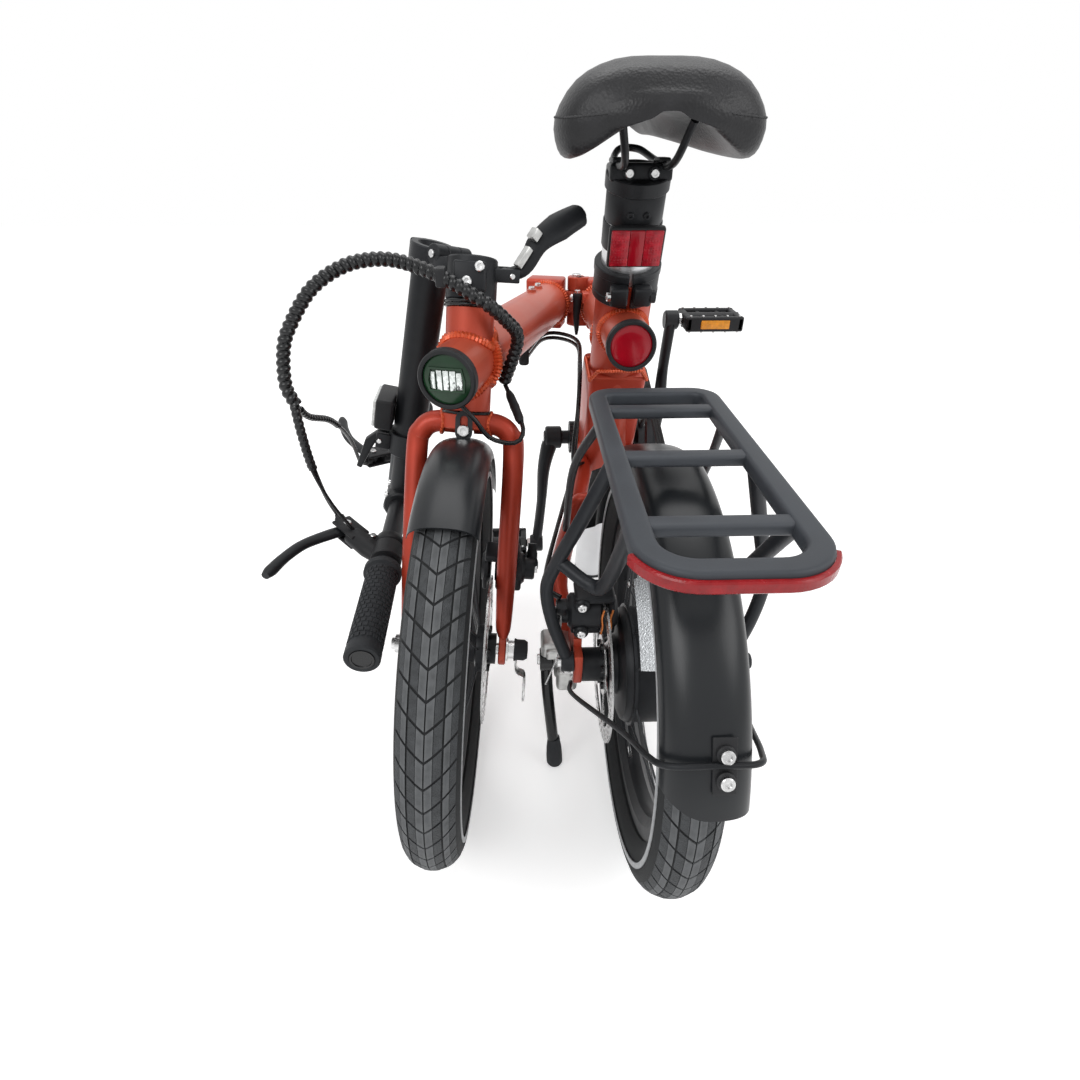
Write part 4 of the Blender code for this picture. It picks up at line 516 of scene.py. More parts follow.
lamp("key", (-1.3, -1.5, 2.1), (-0.1, 0.15, 0.35), 1.6, 26)
lamp("fill", (1.7, -0.9, 1.7), (-0.1, 0.15, 0.3), 1.4, 14)
lamp("top", (0.1, 0.9, 2.4), (-0.1, 0.2, 0.4), 1.8, 16)

FLOOR_HALF, FLOOR_DROP = 6.0, 0.0004
bm = bmesh.new()
bmesh.ops.create_grid(bm, x_segments=1, y_segments=1, size=FLOOR_HALF)
mesh = bpy.data.meshes.new("floor")
bm.to_mesh(mesh)
bm.free()
floor = bpy.data.objects.new("floor", mesh)
floor.location.z = -FLOOR_DROP
bpy.context.scene.collection.objects.link(floor)
pale = bpy.data.materials.new("pale_floor")
pale.use_nodes = True
matt = pale.node_tree.nodes["Principled BSDF"].inputs
matt["Base Color"].default_value = (0.93, 0.93, 0.93, 1)
matt["Roughness"].default_value = 0.9
matt["Emission Color"].default_value = (1, 1, 1, 1)
seen_as(pale.node_tree, 0.0, FLOOR_GLOW, matt["Emission Strength"])
mesh.materials.append(pale)

# Cords: the wrapped loom in two stretches, then the bare leads
LOOM = smooth([(-0.1338, 0.16, 0.4335), (-0.1199, 0.146, 0.4777), (-0.1302, 0.128, 0.4999),
    (-0.1509, 0.116, 0.5196), (-0.1849, 0.128, 0.5363), (-0.2207, 0.145, 0.546), (-0.2477, 0.15, 0.5471),
    (-0.275, 0.15, 0.5408), (-0.3017, 0.14, 0.5245), (-0.3222, 0.13, 0.4971), (-0.3314, 0.125, 0.4764),
    (-0.3349, 0.12, 0.4457), (-0.3299, 0.12, 0.4264)], 6)
LOOM_SPLIT = 24
LEAD_RADIUS, SWITCH_RADIUS, CABLE_RADIUS = 0.0022, 0.0018, 0.0027
CABLE_SPLIT = 24


def declare(cable, bodies):
    """Bakes a cord's placement into its mesh where it runs between two bodies."""
    if bodies:
        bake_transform(cable)


def wrapped(bm, path, pitch=0.0068, low=0.0046, high=0.0065, sides=16):
    """A cable bundle in spiral wrap: rounded turns that climb round the path."""
    points = evenly(path, pitch / 8)
    rows = []
    for i, (p, (side, over)) in enumerate(zip(points, frames(points))):
        row = []
        for k in range(sides):
            angle = 2 * pi * k / sides
            turn = abs(sin(pi * i / 8 - angle / 2))
            radius = low + (high - low) * turn ** 0.8
            row.append(p + side * (radius * cos(angle)) + over * (radius * sin(angle)))
        rows.append(row)
    rings(bm, rows)


for name, path, bodies in (("loom_low", LOOM[:LOOM_SPLIT + 1], ("front_half", "fork")),
        ("loom_high", LOOM[LOOM_SPLIT:], ("fork", "handlepost"))):
    bm = bmesh.new()
    wrapped(bm, path)
    loom = make(bm, name, GLOSS, None, limit=60, stands_for=("cable_loom",))
    declare(loom, bodies)


def lead(name, path, radius, bodies, stands_for):
    """A bare cable along a path, on one body, or on none where it runs between two."""
    path = evenly(path, radius * 3)
    bm = bmesh.new()
    tube(bm, path, radius, 14)
    alone = isinstance(bodies, str)
    cable = make(bm, name, CABLE, bodies if alone else None, stands_for=stands_for)
    declare(cable, () if alone else bodies)


BRAKE_LEAD = smooth([(-0.3296, 0.12, 0.4248), (-0.327, 0.117, 0.396), (-0.3265, 0.122, 0.36),
    (-0.325, 0.135, 0.32), (-0.3222, 0.15, 0.289)], 6)
SWITCH_LEAD = smooth([(-0.3316, 0.1175, 0.4248), (-0.33, 0.114, 0.396), (-0.3265, 0.116, 0.36),
    (-0.316, 0.122, 0.318), (-0.2985, 0.124, 0.283)], 6)
FAR_LEAD = smooth([(-0.3296, 0.122, 0.4248), (-0.329, 0.146, 0.404), (-0.322, 0.19, 0.382),
    (-0.322, 0.245, 0.338), (-0.325, 0.28, 0.292)], 6)
SLIDING = ("handlepost", "handlebar")
lead("brake_lead", BRAKE_LEAD, LEAD_RADIUS, SLIDING, ("bar_leads",))
lead("switch_lead", SWITCH_LEAD, SWITCH_RADIUS, SLIDING, ("bar_leads",))
lead("far_brake_lead", FAR_LEAD, LEAD_RADIUS, SLIDING, ("bar_leads",))
between_leads = [p.lerp(q, 0.5) for p, q in zip(BRAKE_LEAD[:13], SWITCH_LEAD[:13])]
for name, path, line, sizes in (("lead_wrap", between_leads, BRAKE_LEAD, (0.006, 0.0038, 0.0047)),
        ("far_lead_wrap", FAR_LEAD[2:15], FAR_LEAD, (0.0056, 0.0028, 0.0036))):
    bm = bmesh.new()
    wrapped(bm, path, *sizes)
    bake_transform(make(bm, name, GLOSS, None, limit=60))
lead("lamp_lead_sheath", smooth([(-0.172, 0.098, 0.4313), (-0.16, 0.094, 0.419), (-0.1468, 0.094, 0.401),
    (-0.1238, 0.1, 0.3932), (-0.1159, 0.11, 0.4021), (-0.124, 0.138, 0.415), (-0.1333, 0.1592, 0.4302)], 6),
    LEAD_RADIUS, "front_half", ("lamp_lead",))
FRAME_CABLE = [(-0.113, 0.35, 0.404), (-0.0869, 0.47, 0.3985), (-0.0603, 0.49, 0.3965), (-0.037, 0.44, 0.398),
    (-0.04, 0.36, 0.39), (-0.044, 0.32, 0.35), (-0.05, 0.3, 0.27), (-0.066, 0.235, 0.252),
    (-0.092, 0.12, 0.234), (-0.0965, 0.055, 0.24), (-0.0985, 0.036, 0.262), (-0.094, 0.022, 0.274),
    (-0.0835, 0.014, 0.2738)]
MOTOR_CABLE = [Vector(p) + vec(-0.001, -0.004, -0.006) for p in FRAME_CABLE[:6]] + [Vector(p)
    for p in ((-0.0505, 0.301, 0.298), (-0.048, 0.312, 0.27), (-0.0335, 0.332, 0.26))]
for name, points in (("brake_cable", FRAME_CABLE), ("motor_cable", MOTOR_CABLE)):
    path = smooth(points, 6)
    lead(name + "_loop", path[:CABLE_SPLIT + 1], CABLE_RADIUS, ("front_half", "rear_half"), ("frame_cable",))
    lead(name + "_run", path[CABLE_SPLIT:], CABLE_RADIUS, "rear_half", ("frame_cable",))
build(("loom_clip", PLASTIC, "fork"), (cuboid, (-0.1849, 0.128, 0.5363), (0.009, 0.016, 0.016), None, 0.002))
build(("lamp_plug", PLASTIC, "front_half"),
      (tube, smooth([(-0.1182, 0.119, 0.4062), (-0.124, 0.138, 0.415), (-0.13, 0.152, 0.425)], 4),
          [0.003, 0.0044, 0.0044, 0.0044, 0.0048, 0.0044, 0.0044, 0.0042, 0.003], 16))
build(("frame_grommet", RUBBER, "front_half"),
      (cuboid, (-0.1135, 0.3485, 0.4085), (0.013, 0.018, 0.03), None, 0.004, 3))


# Wheels
TYRE_MID = 0.1785
TYRE_HIGH = 0.0222
TYRE_HALF = 0.025
CHEVRONS = 56
ROLLING = 0.2
GROOVE = 0.0026
TREAD_ROWS = ((True, 0.0005, 0.006, 0.0012), (False, 0.0064, 0.0122, 0.0009), (True, 0.0136, 0.0178, 0.0011),
              (False, 0.018, 0.0222, 0.0008))  # plain or knit, from and to off the middle plane, height
RIM_HALF = 0.0125
SPOKES = 20
SPOKE_LEAN = 0.3
SPOKE_END = 0.1395
ROTOR_ARMS = 6
ROTOR_HALF = 0.0009
ROTOR_HOLES = ((0.0635, 0.0), (0.0672, 0.06), (0.0709, 0.12))  # radius, turn


def crown(x):
    """Radius of the tyre's casing at a distance from its middle plane."""
    return TYRE_MID + TYRE_HIGH * math.sqrt(max(0.0, 1 - (x / (TYRE_HALF + 0.0004)) ** 2))


def pad(bm, centre, side, near, far, start, step, way, lift):
    """A raked tread pad between two distances from the middle plane, one step long from start."""
    rows = []
    for k in range(4):
        low, high = [], []
        for j in range(4):
            x = near + (far - near) * j / 3
            angle = way * (start + 0.8 * x + 5.0 * x * x + step * k / 3) / ROLLING
            for row, r in ((low, crown(x) - 0.0004), (high, crown(x) + lift)):
                row.append(centre + vec(side * x, r * cos(angle), r * sin(angle)))
        rows.append(high + list(reversed(low)))
    rings(bm, rows)


def wheel(prefix, body, centre, move, way, hub, flanges, flange, rotor_x, rotor_hub):
    """A whole wheel; way is the tread's direction, flanges and flange place the spokes' inner ends."""
    bm = bmesh.new()
    half = RIM_HALF
    section = []
    for k in range(25):
        angle = pi * k / 24
        x = TYRE_HALF * cos(angle)
        section.append((crown(x), x))
    section += [(0.166, -0.0215), (0.1585, -0.015), (0.1585, 0.015), (0.166, 0.0215)]
    lathe(bm, section, centre, X, 128, True)
    make(bm, prefix + "_casing", TYRE_AND_GROOVE_SHADE, body, move, (prefix + "_tyre",))
    pads, knit = bmesh.new(), bmesh.new()
    step = 2 * pi * ROLLING / CHEVRONS
    for i in range(CHEVRONS):
        for side in (-1, 1):
            for plain, near, far, lift in TREAD_ROWS:
                pad(pads if plain else knit, centre, side, near, far, i * step, step - GROOVE, way, lift)
    make(pads, prefix + "_pads", TREAD, body, move)
    make(knit, prefix + "_knit", KNIT, body, move)
    bm = bmesh.new()
    for side in (-1, 1):
        lathe(bm, [(0.1745, side * 0.0246), (0.1745, side * 0.0254), (0.179, side * 0.0254),
            (0.179, side * 0.0246)], centre, X, 128, True)
    make(bm, prefix + "_stripe", STRIPE, body, move)
    build((prefix + "_rim_shell", BLACK, body, move, (prefix + "_rim",)),
          (lathe, [(0.159, half), (0.1605, half + 0.0008), (0.1605, half - 0.002), (0.1545, half - 0.003),
              (0.153, 0.004), (0.153, -0.004), (0.1545, 0.003 - half), (0.1605, 0.002 - half),
              (0.1605, -half - 0.0008), (0.159, -half), (0.147, -half), (0.1395, -0.007), (0.138, 0.0),
              (0.1395, 0.007), (0.147, half)], centre, X, 96, True))
    build((prefix + "_hub_shell", BLACK, body, move, (prefix + "_hub",)), (lathe, hub, centre, X, 56, True))
    spokes, nipples = bmesh.new(), bmesh.new()
    for i in range(SPOKES):
        side = 1 if i % 2 else -1
        lean = SPOKE_LEAN if (i // 2) % 2 else -SPOKE_LEAN
        angle = 2 * pi * i / SPOKES
        low = vec(side * flanges, flange * cos(angle), flange * sin(angle))
        turn = angle + lean
        out = vec(side * 0.003, SPOKE_END * cos(turn), SPOKE_END * sin(turn))
        along = (out - low).normalized()
        tube(spokes, [centre + low - along * 0.002, centre + out], 0.001, 8)
        tube(nipples, [centre + out - along * 0.011, centre + out - along * 0.002, centre + out],
            [0.0015, 0.0019, 0.0019], 8)
    make(spokes, prefix + "_spokes", BLACK, body, move)
    make(nipples, prefix + "_nipples", STEEL, body, move)
    bm = bmesh.new()
    disc = Matrix.Translation(centre + X * rotor_x) @ upright(X)
    ring_plate(bm, circle(0.0745, 72), circle(0.06, 72), -ROTOR_HALF, ROTOR_HALF, disc)
    feet = [vec(u, v, 0) for u, v in circle(rotor_hub, ROTOR_ARMS)]
    for i, inner in enumerate(feet):
        angle = 2 * pi * i / ROTOR_ARMS
        outer = vec(0.062 * cos(angle + 0.5), 0.062 * sin(angle + 0.5), 0)
        tube(bm, [disc @ inner, disc @ ((inner + outer) / 2 + vec(-inner.y, inner.x, 0) * 0.05), disc @ outer],
            [0.0042, 0.0034, 0.0044], 8, 0.21, X)
    ring_plate(bm, circle(rotor_hub + 0.008, 48), circle(rotor_hub - 0.004, 48), -ROTOR_HALF, ROTOR_HALF, disc)
    make(bm, prefix + "_rotor_disc", STEEL, body, move, (prefix + "_rotor",))
    bm = bmesh.new()
    for i in range(36):
        angle = 2 * pi * i / 36
        for r, turn in ROTOR_HOLES:
            spot = vec(r * cos(angle + turn), r * sin(angle + turn), 0)
            for face in (-1, 1):
                lathe(bm, drum(0.0014, 0.0001), disc @ (spot + Z * face * ROTOR_HALF), X * face, 8)
    for foot in feet:
        bolt(bm, disc @ (foot - Z * ROTOR_HALF), -X, 0.0036, 0.0028)
    make(bm, prefix + "_rotor_holes", GLOSS, body, move)


MOTOR = [(0.0063, 0.063), (0.012, 0.063), (0.012, 0.034), (0.03, 0.0315), (0.046, 0.0292), (0.053, 0.0265),
    (0.0556, 0.0225), (0.056, 0.02), (0.059, 0.0196), (0.059, 0.0168), (0.056, 0.0164), (0.056, -0.0164),
    (0.059, -0.0168), (0.059, -0.0196), (0.056, -0.02), (0.0556, -0.0225), (0.053, -0.0265), (0.046, -0.0292),
    (0.03, -0.0305), (0.024, -0.0405), (0.0165, -0.0408), (0.0165, -0.063), (0.0063, -0.063)]
wheel("rear", "rear_wheel", AXLE, STILL, -1, MOTOR, 0.018, 0.0565, -0.042, 0.0215)
HUB = [(0.0063, 0.0413), (0.015, 0.0413), (0.015, 0.026), (0.0235, 0.0252), (0.024, 0.024), (0.0235, 0.0222),
    (0.015, 0.02), (0.0135, 0.0), (0.015, -0.02), (0.0235, -0.0222), (0.024, -0.024), (0.024, -0.031),
    (0.0155, -0.0312), (0.0155, -0.0413), (0.0063, -0.0413)]
wheel("front", "front_wheel", FRONT_AXLE, FORK, 1, HUB, 0.0238, 0.0205, -0.0325, 0.0205)
build(("rear_bright_strip", SPARKLE, "rear_wheel"),
      (rings, [[AXLE + vec(x, r * cos(radians(a)), r * sin(radians(a)))
          for x, r in ((-0.0245, 0.174), (-0.0335, 0.1655), (-0.034, 0.1662), (-0.025, 0.1747))]
          for a in range(114, 140, 2)]))


# Mudguards
def guard(bm, centre, radius, half, first, last, steps, drop=None, cut=0.0):
    """A mudguard shell with rolled edges; angles run from the near side over the top, in degrees."""
    rows = []
    for i in range(steps + 1):
        degrees = first + (last - first) * i / steps
        angle = radians(degrees)
        sunk = drop(degrees) if drop else 0.0
        outer, inner = [], []
        for k in range(25):
            t = -pi / 2 + pi * k / 24
            x = half * sin(t)
            fall = 0.0165 * (1 - cos(t)) ** 1.25 + sunk * max(0.0, cos(t)) ** 0.6
            roll = 0.0008 if k in (0, 24) else 0.0
            late = angle
            if cut and i < 3:
                late = angle + radians(cut) * max(0.0, -sin(t)) ** 2 * (3 - i) / 3
            for line, r in ((outer, radius + 0.0018 - fall + roll), (inner, radius - fall)):
                line.append(centre + vec(x * (1 + roll * 20), -r * cos(late), r * sin(late)))
        rows.append(outer + list(reversed(inner)))
    rings(bm, rows)


def rear_step(degrees):
    """The rear guard sinks in one step behind the top, under the rack."""
    t = min(1.0, max(0.0, (degrees - 92) / 9))
    return 0.0085 * t * t * (3 - 2 * t)


build(("rear_guard_shell", GUARD, "rear_half", STILL, ("rear_mudguard",), 50),
      (guard, AXLE, 0.2205, 0.03, 17, 170, 90, rear_step, 4.0))
build(("guard_flap", GUARD, "rear_half"),
      (rings, [[AXLE + vec(x, -r * cos(radians(a)), r * sin(radians(a)))
          for x, r in ((-0.0293, 0.2045), (-0.044, 0.199), (-0.044, 0.2006), (-0.0293, 0.2061))]
          for a in range(136, 171, 2)]))
build(("front_guard_shell", GUARD, "fork", FORK, ("front_mudguard",), 50),
      (guard, FRONT_AXLE, 0.2085, 0.0275, 25, 113, 56))

# Rear frame: tubes, controller box, hinge block, barrel, stays and dropouts, with their weld beads
TUBE_RADIUS, TUBE_WELD = 0.029, 0.0294
BARREL_RADIUS, BARREL_WELD = 0.0258, 0.0262
SEAT_WALL, HEAD_WALL = 0.0322, 0.0228
BEZEL_DEEP = 0.0092
HINGE_HALF, KNUCKLE, HALF_GAP = 0.0335, 0.0125, 0.0003
STUB = vec(0, SEAT_FOOT - TUBE_Z * math.tan(SEAT_LEAN), TUBE_Z)
TAIL_ROOT = vec(0, SEAT_FOOT - TAIL.z * math.tan(SEAT_LEAN), TAIL.z)
bm = bmesh.new()
lathe(bm, [(0.0296, 0.345), (0.031, 0.345), (0.0318, 0.3442), (0.0318, 0.001), (0.0312, 0.0), (0.0296, 0.0)],
    seat(0.195), SEAT_UP, 64, True)
lathe(bm, drum(TUBE_RADIUS, PIN.y - 0.03 - STUB.y), STUB, Y, 64)
lathe(bm, drum(BARREL_RADIUS, TAIL_ROOT.y - TAIL.y - BEZEL_DEEP), TAIL_ROOT, -Y, 64)
SIDE = Matrix(((0, 0, 1, 0), (1, 0, 0, 0), (0, 1, 0, 0), (0, 0, 0, 1)))  # outlines drawn as y and z
prism(bm, [(0.285, 0.396), (0.328, 0.296), (0.336, 0.282), (0.352, 0.272), (0.398, 0.236), (0.434, 0.236),
    (0.447, 0.254), (0.44, 0.3), (0.372, 0.402)], -0.0345, 0.0345, SIDE, 0.006, 4)
lathe(bm, sleeve(0, 0.0215, -0.0365, 0.0365, 0.001, 0.001), BRACKET, X, 48)
HINGE_LEFT = PIN.x + 0.0145
box(bm, (HINGE_LEFT, PIN.y - 0.034, TUBE_Z - HINGE_HALF), (0.031, PIN.y - HALF_GAP, TUBE_Z + HINGE_HALF), 0.004,
    4)
for low, high in ((TUBE_Z - HINGE_HALF, TUBE_Z - 0.0151), (TUBE_Z + 0.0151, TUBE_Z + HINGE_HALF)):
    rod(bm, PIN + Z * low, PIN + Z * high, KNUCKLE, 40, 0.001)
    box(bm, (PIN.x, PIN.y - KNUCKLE, low), (HINGE_LEFT + 0.004, PIN.y - HALF_GAP, high), 0.001)
box(bm, (LATCH.x + 0.0075, LATCH.y - 0.007, LATCH.z - 0.007), (LATCH.x + 0.0215, PIN.y - 0.03, LATCH.z + 0.007),
    0.002)
for side in (-1, 1):
    stay = smooth([(side * 0.03, 0.375, 0.262), (side * 0.042, 0.29, 0.241), (side * 0.079, 0.125, 0.216),
        (side * 0.0705, 0.054, 0.208)], 8)
    tube(bm, stay, 0.0112, 28)
    dropout = [(0.066, 0.1925), (0.066, 0.214), (0.012, 0.215), (0.006, 0.2295), (-0.0205, 0.2295),
        (-0.0205, 0.211), (-0.0165, 0.193), (-0.009, 0.185), (0.002, 0.1832), (0.012, 0.1875), (0.02, 0.1915)]
    ends = sorted((side * 0.0635, side * 0.0715))
    prism(bm, dropout, ends[0], ends[1], SIDE, 0.0012)
bridge = mirrored([(-0.058, 0.2193, 0.229), (-0.052, 0.2193, 0.26), (-0.036, 0.2193, 0.266)])
tube(bm, smooth(bridge, 6), 0.008, 24)
box(bm, (-0.0715, -0.004, AXLE.z), (-0.0635, 0.03, 0.2375), 0.001)
make(bm, "rear_frame_tubes", PAINT, "rear_half", STILL, ("rear_frame",))
bm = bmesh.new()
bead(bm, seam(TAIL_ROOT, -Y, BARREL_WELD, seat(0), SEAT_UP, SEAT_WALL), 0.0042)
bead(bm, seam(STUB, Y, TUBE_WELD, seat(0), SEAT_UP, SEAT_WALL), 0.004)
bead(bm, [vec(u, PIN.y - 0.0345, TUBE_Z + v) for u, v in circle(TUBE_WELD, 64)], 0.0034)
bead(bm, mirrored([(-0.0345, 0.287, 0.392), (-0.026, 0.2795, 0.405)])
    + [(0.0345, 0.345, 0.402), (-0.0345, 0.345, 0.402)], 0.0022)
for side in (-1, 1):
    bead(bm, [BRACKET + vec(side * 0.0352, u, v) for u, v in circle(0.0222, 40)], 0.0016)
make(bm, "rear_weld_beads", WELD, "rear_half", STILL)
build(("hinge_pin", STEEL, "rear_half"),
      (rod, PIN + Z * (TUBE_Z - 0.0365), PIN + Z * (TUBE_Z + 0.0365), 0.0045),
      (bolt, PIN + Z * (TUBE_Z + HINGE_HALF), Z, 0.0068, 0.0034))

# Front frame: main tube, head tube, lamp barrel and hinge block
bm = bmesh.new()
start = vec(0, PIN.y + 0.03, TUBE_Z)
run = (HEAD - start).normalized()
lathe(bm, drum(TUBE_RADIUS, (HEAD - start).length), start, run, 64)
lathe(bm, sleeve(0.015, 0.0225, -0.0465, 0.0465, 0.0007, 0.0007), HEAD, HEAD_UP, 64, True)
lathe(bm, drum(BARREL_RADIUS, HEAD_LAMP.y - BEZEL_DEEP - HEAD.y), (0, HEAD.y, HEAD_LAMP.z), Y, 64)
box(bm, (HINGE_LEFT, PIN.y + HALF_GAP, TUBE_Z - HINGE_HALF), (0.031, PIN.y + 0.034, TUBE_Z + HINGE_HALF), 0.004,
    4)
rod(bm, PIN + Z * (TUBE_Z - 0.0148), PIN + Z * (TUBE_Z + 0.0148), KNUCKLE, 40, 0.001)
box(bm, (PIN.x, PIN.y + HALF_GAP, TUBE_Z - 0.0148), (HINGE_LEFT + 0.004, PIN.y + KNUCKLE, TUBE_Z + 0.0148),
    0.001)
make(bm, "front_frame_tubes", PAINT, "front_half", FRONT, ("front_frame",))
build(("front_weld_beads", WELD, "front_half", FRONT),
      (bead, seam(HEAD, -run, TUBE_WELD, HEAD, HEAD_UP, HEAD_WALL), 0.0042),
      (bead, seam((0, HEAD.y, HEAD_LAMP.z), Y, BARREL_WELD, HEAD, HEAD_UP, HEAD_WALL), 0.0042),
      (bead, [vec(u, PIN.y + 0.0345, TUBE_Z + v) for u, v in circle(TUBE_WELD, 64)], 0.0034))
bosses, screws = bmesh.new(), bmesh.new()
for along in (0.062, 0.098):
    foot = start + run * along + Z * 0.0285
    lathe(bosses, [(0, 0), (0.0062, 0), (0.0056, 0.0034), (0, 0.0034)], foot, Z, 24)
    bolt(screws, foot + Z * 0.003, Z, 0.0038, 0.0036)
make(bosses, "tube_bosses", PAINT, "front_half", FRONT)
make(screws, "tube_screws", STEEL, "front_half", FRONT)
bm = bmesh.new()
for low in (0.0468, 0.05):
    lathe(bm, sleeve(0.015, 0.0246, low, low + 0.0026, 0.0006, 0.0008), HEAD, HEAD_UP, 64, True)
make(bm, "headset_rings", GLOSS, "front_half", FRONT, ("headset",))


def round_lamp(prefix, face, ahead, body, move, lens):
    """A lamp's bezel and its domed lens, sunk behind the face."""
    build((prefix + "_ring", PLASTIC, body, move, (prefix + "_bezel",)),
          (lathe, [(0.0225, -0.0004), (0.0232, 0.0), (0.0256, 0.0), (0.0268, -0.0014), (0.0268, -0.0088),
              (0.0225, -0.0088)], face, ahead, 64, True))
    build((prefix + "_glass", lens, body, move, (prefix + "_lens",)),
          (lathe, [(0, -0.0088), (0.0222, -0.0088), (0.0222, -0.0028), (0.0205, -0.002), (0.014, -0.0013),
              (0, -0.0009)], face, ahead, 64))


round_lamp("tail_lamp", TAIL, -Y, "rear_half", STILL, RED_LENS)
round_lamp("head_lamp", HEAD_LAMP, Y, "front_half", FRONT, LAMP_FACE)
window = Matrix.Translation(HEAD_LAMP) @ Matrix(((-1, 0, 0, 0), (0, 0, 1, 0), (0, 1, 0, 0), (0, 0, 0, 1)))
bm = bmesh.new()
outer = [(0.0165, -0.01), (0.0178, 0.0), (0.015, 0.0112), (-0.015, 0.0112), (-0.0178, 0.0), (-0.0165, -0.01)]
inner = [(u * 0.9, v * 0.84) for u, v in outer]
ring_plate(bm, outer, inner, -0.0016, 0.0004, window)
make(bm, "head_lamp_window", LAMP_FACE, "front_half", FRONT)
bm = bmesh.new()
for k in range(5):
    tall = 0.0088 if 0 < k < 4 else 0.0076
    cuboid(bm, window @ vec(0.0061 * (k - 2), -0.0002, -0.0004), (0.0052, 0.0012, tall * 2),
        Matrix.Rotation(0.18 * (k - 2), 4, "Z"), 0.0005)
make(bm, "head_lamp_mirror", GLASS, "front_half", FRONT)

# Hinge latch
bm = bmesh.new()
hook = smooth([LATCH + vec(0.001, 0, 0.006), LATCH + vec(0.001, 0.0005, -0.01),
    LATCH + vec(0.0005, 0.001, -0.024), LATCH + vec(0.001, -0.001, -0.04), LATCH + vec(0.001, -0.001, -0.05)],
    6)
tube(bm, hook, [0.0062] + [0.0066 - 0.0046 * (k / 24) ** 1.5 for k in range(1, 25)], 16, 0.9)
rod(bm, LATCH - X * 0.006, LATCH + X * 0.016, 0.0028)
make(bm, "latch_hook", BLACK, "frame_latch", STILL, ("latch_lever",))
build(("latch_nut", STEEL, "frame_latch"),
      (lathe, [(0, 0), (0.0052, 0), (0.0052, 0.0015), (0.0036, 0.0035), (0, 0.0042)], LATCH - X * 0.006, -X,
          24),
      (rod, LATCH + vec(0.001, 0, 0.006), LATCH + vec(0.001, 0, 0.0105), 0.004))

# Seat clamp, split behind, with its cross bolt
SEAT_TURN = Matrix.Rotation(SEAT_LEAN, 4, "X")
CLAMP = seat(0.54)
bm = bmesh.new()
rows = []
for k in range(73):
    angle = 0.06 + (2 * pi - 0.12) * k / 72
    out = SEAT_BACK * cos(angle) + X * sin(angle)
    rows.append([CLAMP + out * r + SEAT_UP * h for r, h in ((0.0293, 0.014), (0.0353, 0.014), (0.0363, 0.013),
        (0.0363, 0.0062), (0.0356, 0.0054), (0.0356, -0.0134), (0.0363, -0.0142), (0.0363, -0.0212),
        (0.0355, -0.022), (0.0321, -0.022), (0.0321, 0.0003), (0.0293, 0.0003))])
rings(bm, rows)
ear = CLAMP - SEAT_UP * 0.004 + SEAT_BACK * 0.0403
for side in (-1, 1):
    cuboid(bm, ear + X * side * 0.0125, (0.019, 0.014, 0.02), SEAT_TURN, 0.003, 3)
rod(bm, ear + SEAT_BACK * 0.002 + X * 0.02, ear + SEAT_BACK * 0.002 + X * 0.026, 0.0066)
make(bm, "seat_clamp_ring", BLACK, "rear_half", STILL, ("seat_clamp",))
build(("seat_clamp_bolt", STEEL, "rear_half"), (bolt, ear + SEAT_BACK * 0.002 - X * 0.0215, -X, 0.0046, 0.0045))

# Seatpost with its sleeve and reflector
build(("post_tube", SILVER, "seatpost", STILL, ("seatpost",)),
      (lathe, [(0, 0.0163), (0.0284, 0.0163), (0.029, 0.017), (0.029, 0.6), (0, 0.6)], seat(0), SEAT_UP, 64))
build(("post_sleeve", BLACK, "seatpost"),
      (lathe, [(0.027, 0.599), (0.0293, 0.599), (0.0297, 0.6), (0.0297, 0.627), (0.029, 0.628), (0.027, 0.628)],
          seat(0), SEAT_UP, 64, True),
      (lathe, sleeve(0.0286, 0.0306, 0.572, 0.598, 0.0004, 0.001), seat(0), SEAT_UP, 64, True))
spot = seat(0.585) + SEAT_BACK * 0.0343
build(("seat_reflector_shell", PLASTIC, "seatpost", STILL, ("seat_reflector",)),
      (cuboid, spot - SEAT_BACK * 0.0008, (0.056, 0.0084, 0.04), SEAT_TURN, 0.0025, 3))
bm = bmesh.new()
for side in (-1, 1):
    cuboid(bm, spot + SEAT_BACK * 0.003 + X * side * 0.0167, (0.0185, 0.004, 0.0355), SEAT_TURN, 0.001)
make(bm, "seat_reflector_sides", RED_PRISM, "seatpost")
build(("seat_reflector_stripe", RED_LENS, "seatpost"),
      (cuboid, spot + SEAT_BACK * 0.003, (0.0146, 0.0044, 0.0355), SEAT_TURN, 0.001))

# Saddle clamp, rails and saddle
CAP = seat(0.642)
RAIL_Z = CAP.z + 0.008
bm = bmesh.new()
lathe(bm, [(0, 0), (0.0312, 0), (0.032, 0.0008), (0.032, 0.0128), (0.031, 0.0137), (0, 0.0137)], seat(0.6283),
    SEAT_UP, 56)
box(bm, (-0.03, CAP.y - 0.018, CAP.z - 0.008), (0.03, CAP.y + 0.018, RAIL_Z - 0.0005), 0.003, 3)
for side in (-1, 1):
    box(bm, (side * 0.022 - 0.006, CAP.y - 0.015, RAIL_Z - 0.001),
        (side * 0.022 + 0.006, CAP.y + 0.015, RAIL_Z + 0.004), 0.002)
    rod(bm, (side * 0.012, CAP.y - 0.018, CAP.z - 0.001), (side * 0.012, CAP.y - 0.0205, CAP.z - 0.001), 0.006)
half_rail = [(-0.03, 0.168, 0.6493), (-0.022, 0.197, RAIL_Z), (-0.022, CAP.y + 0.025, RAIL_Z),
    (-0.01, 0.322, RAIL_Z + 0.01)]
tube(bm, smooth(mirrored(half_rail), 8), 0.0035, 16)
for side in (-1, 1):
    bolt(bm, seat(0.613) + SEAT_BACK * 0.029 + X * side * 0.008, SEAT_BACK, 0.0032, 0.0024)
make(bm, "saddle_cradle", BLACK, "seatpost", STILL, ("saddle_clamp",))
bm = bmesh.new()
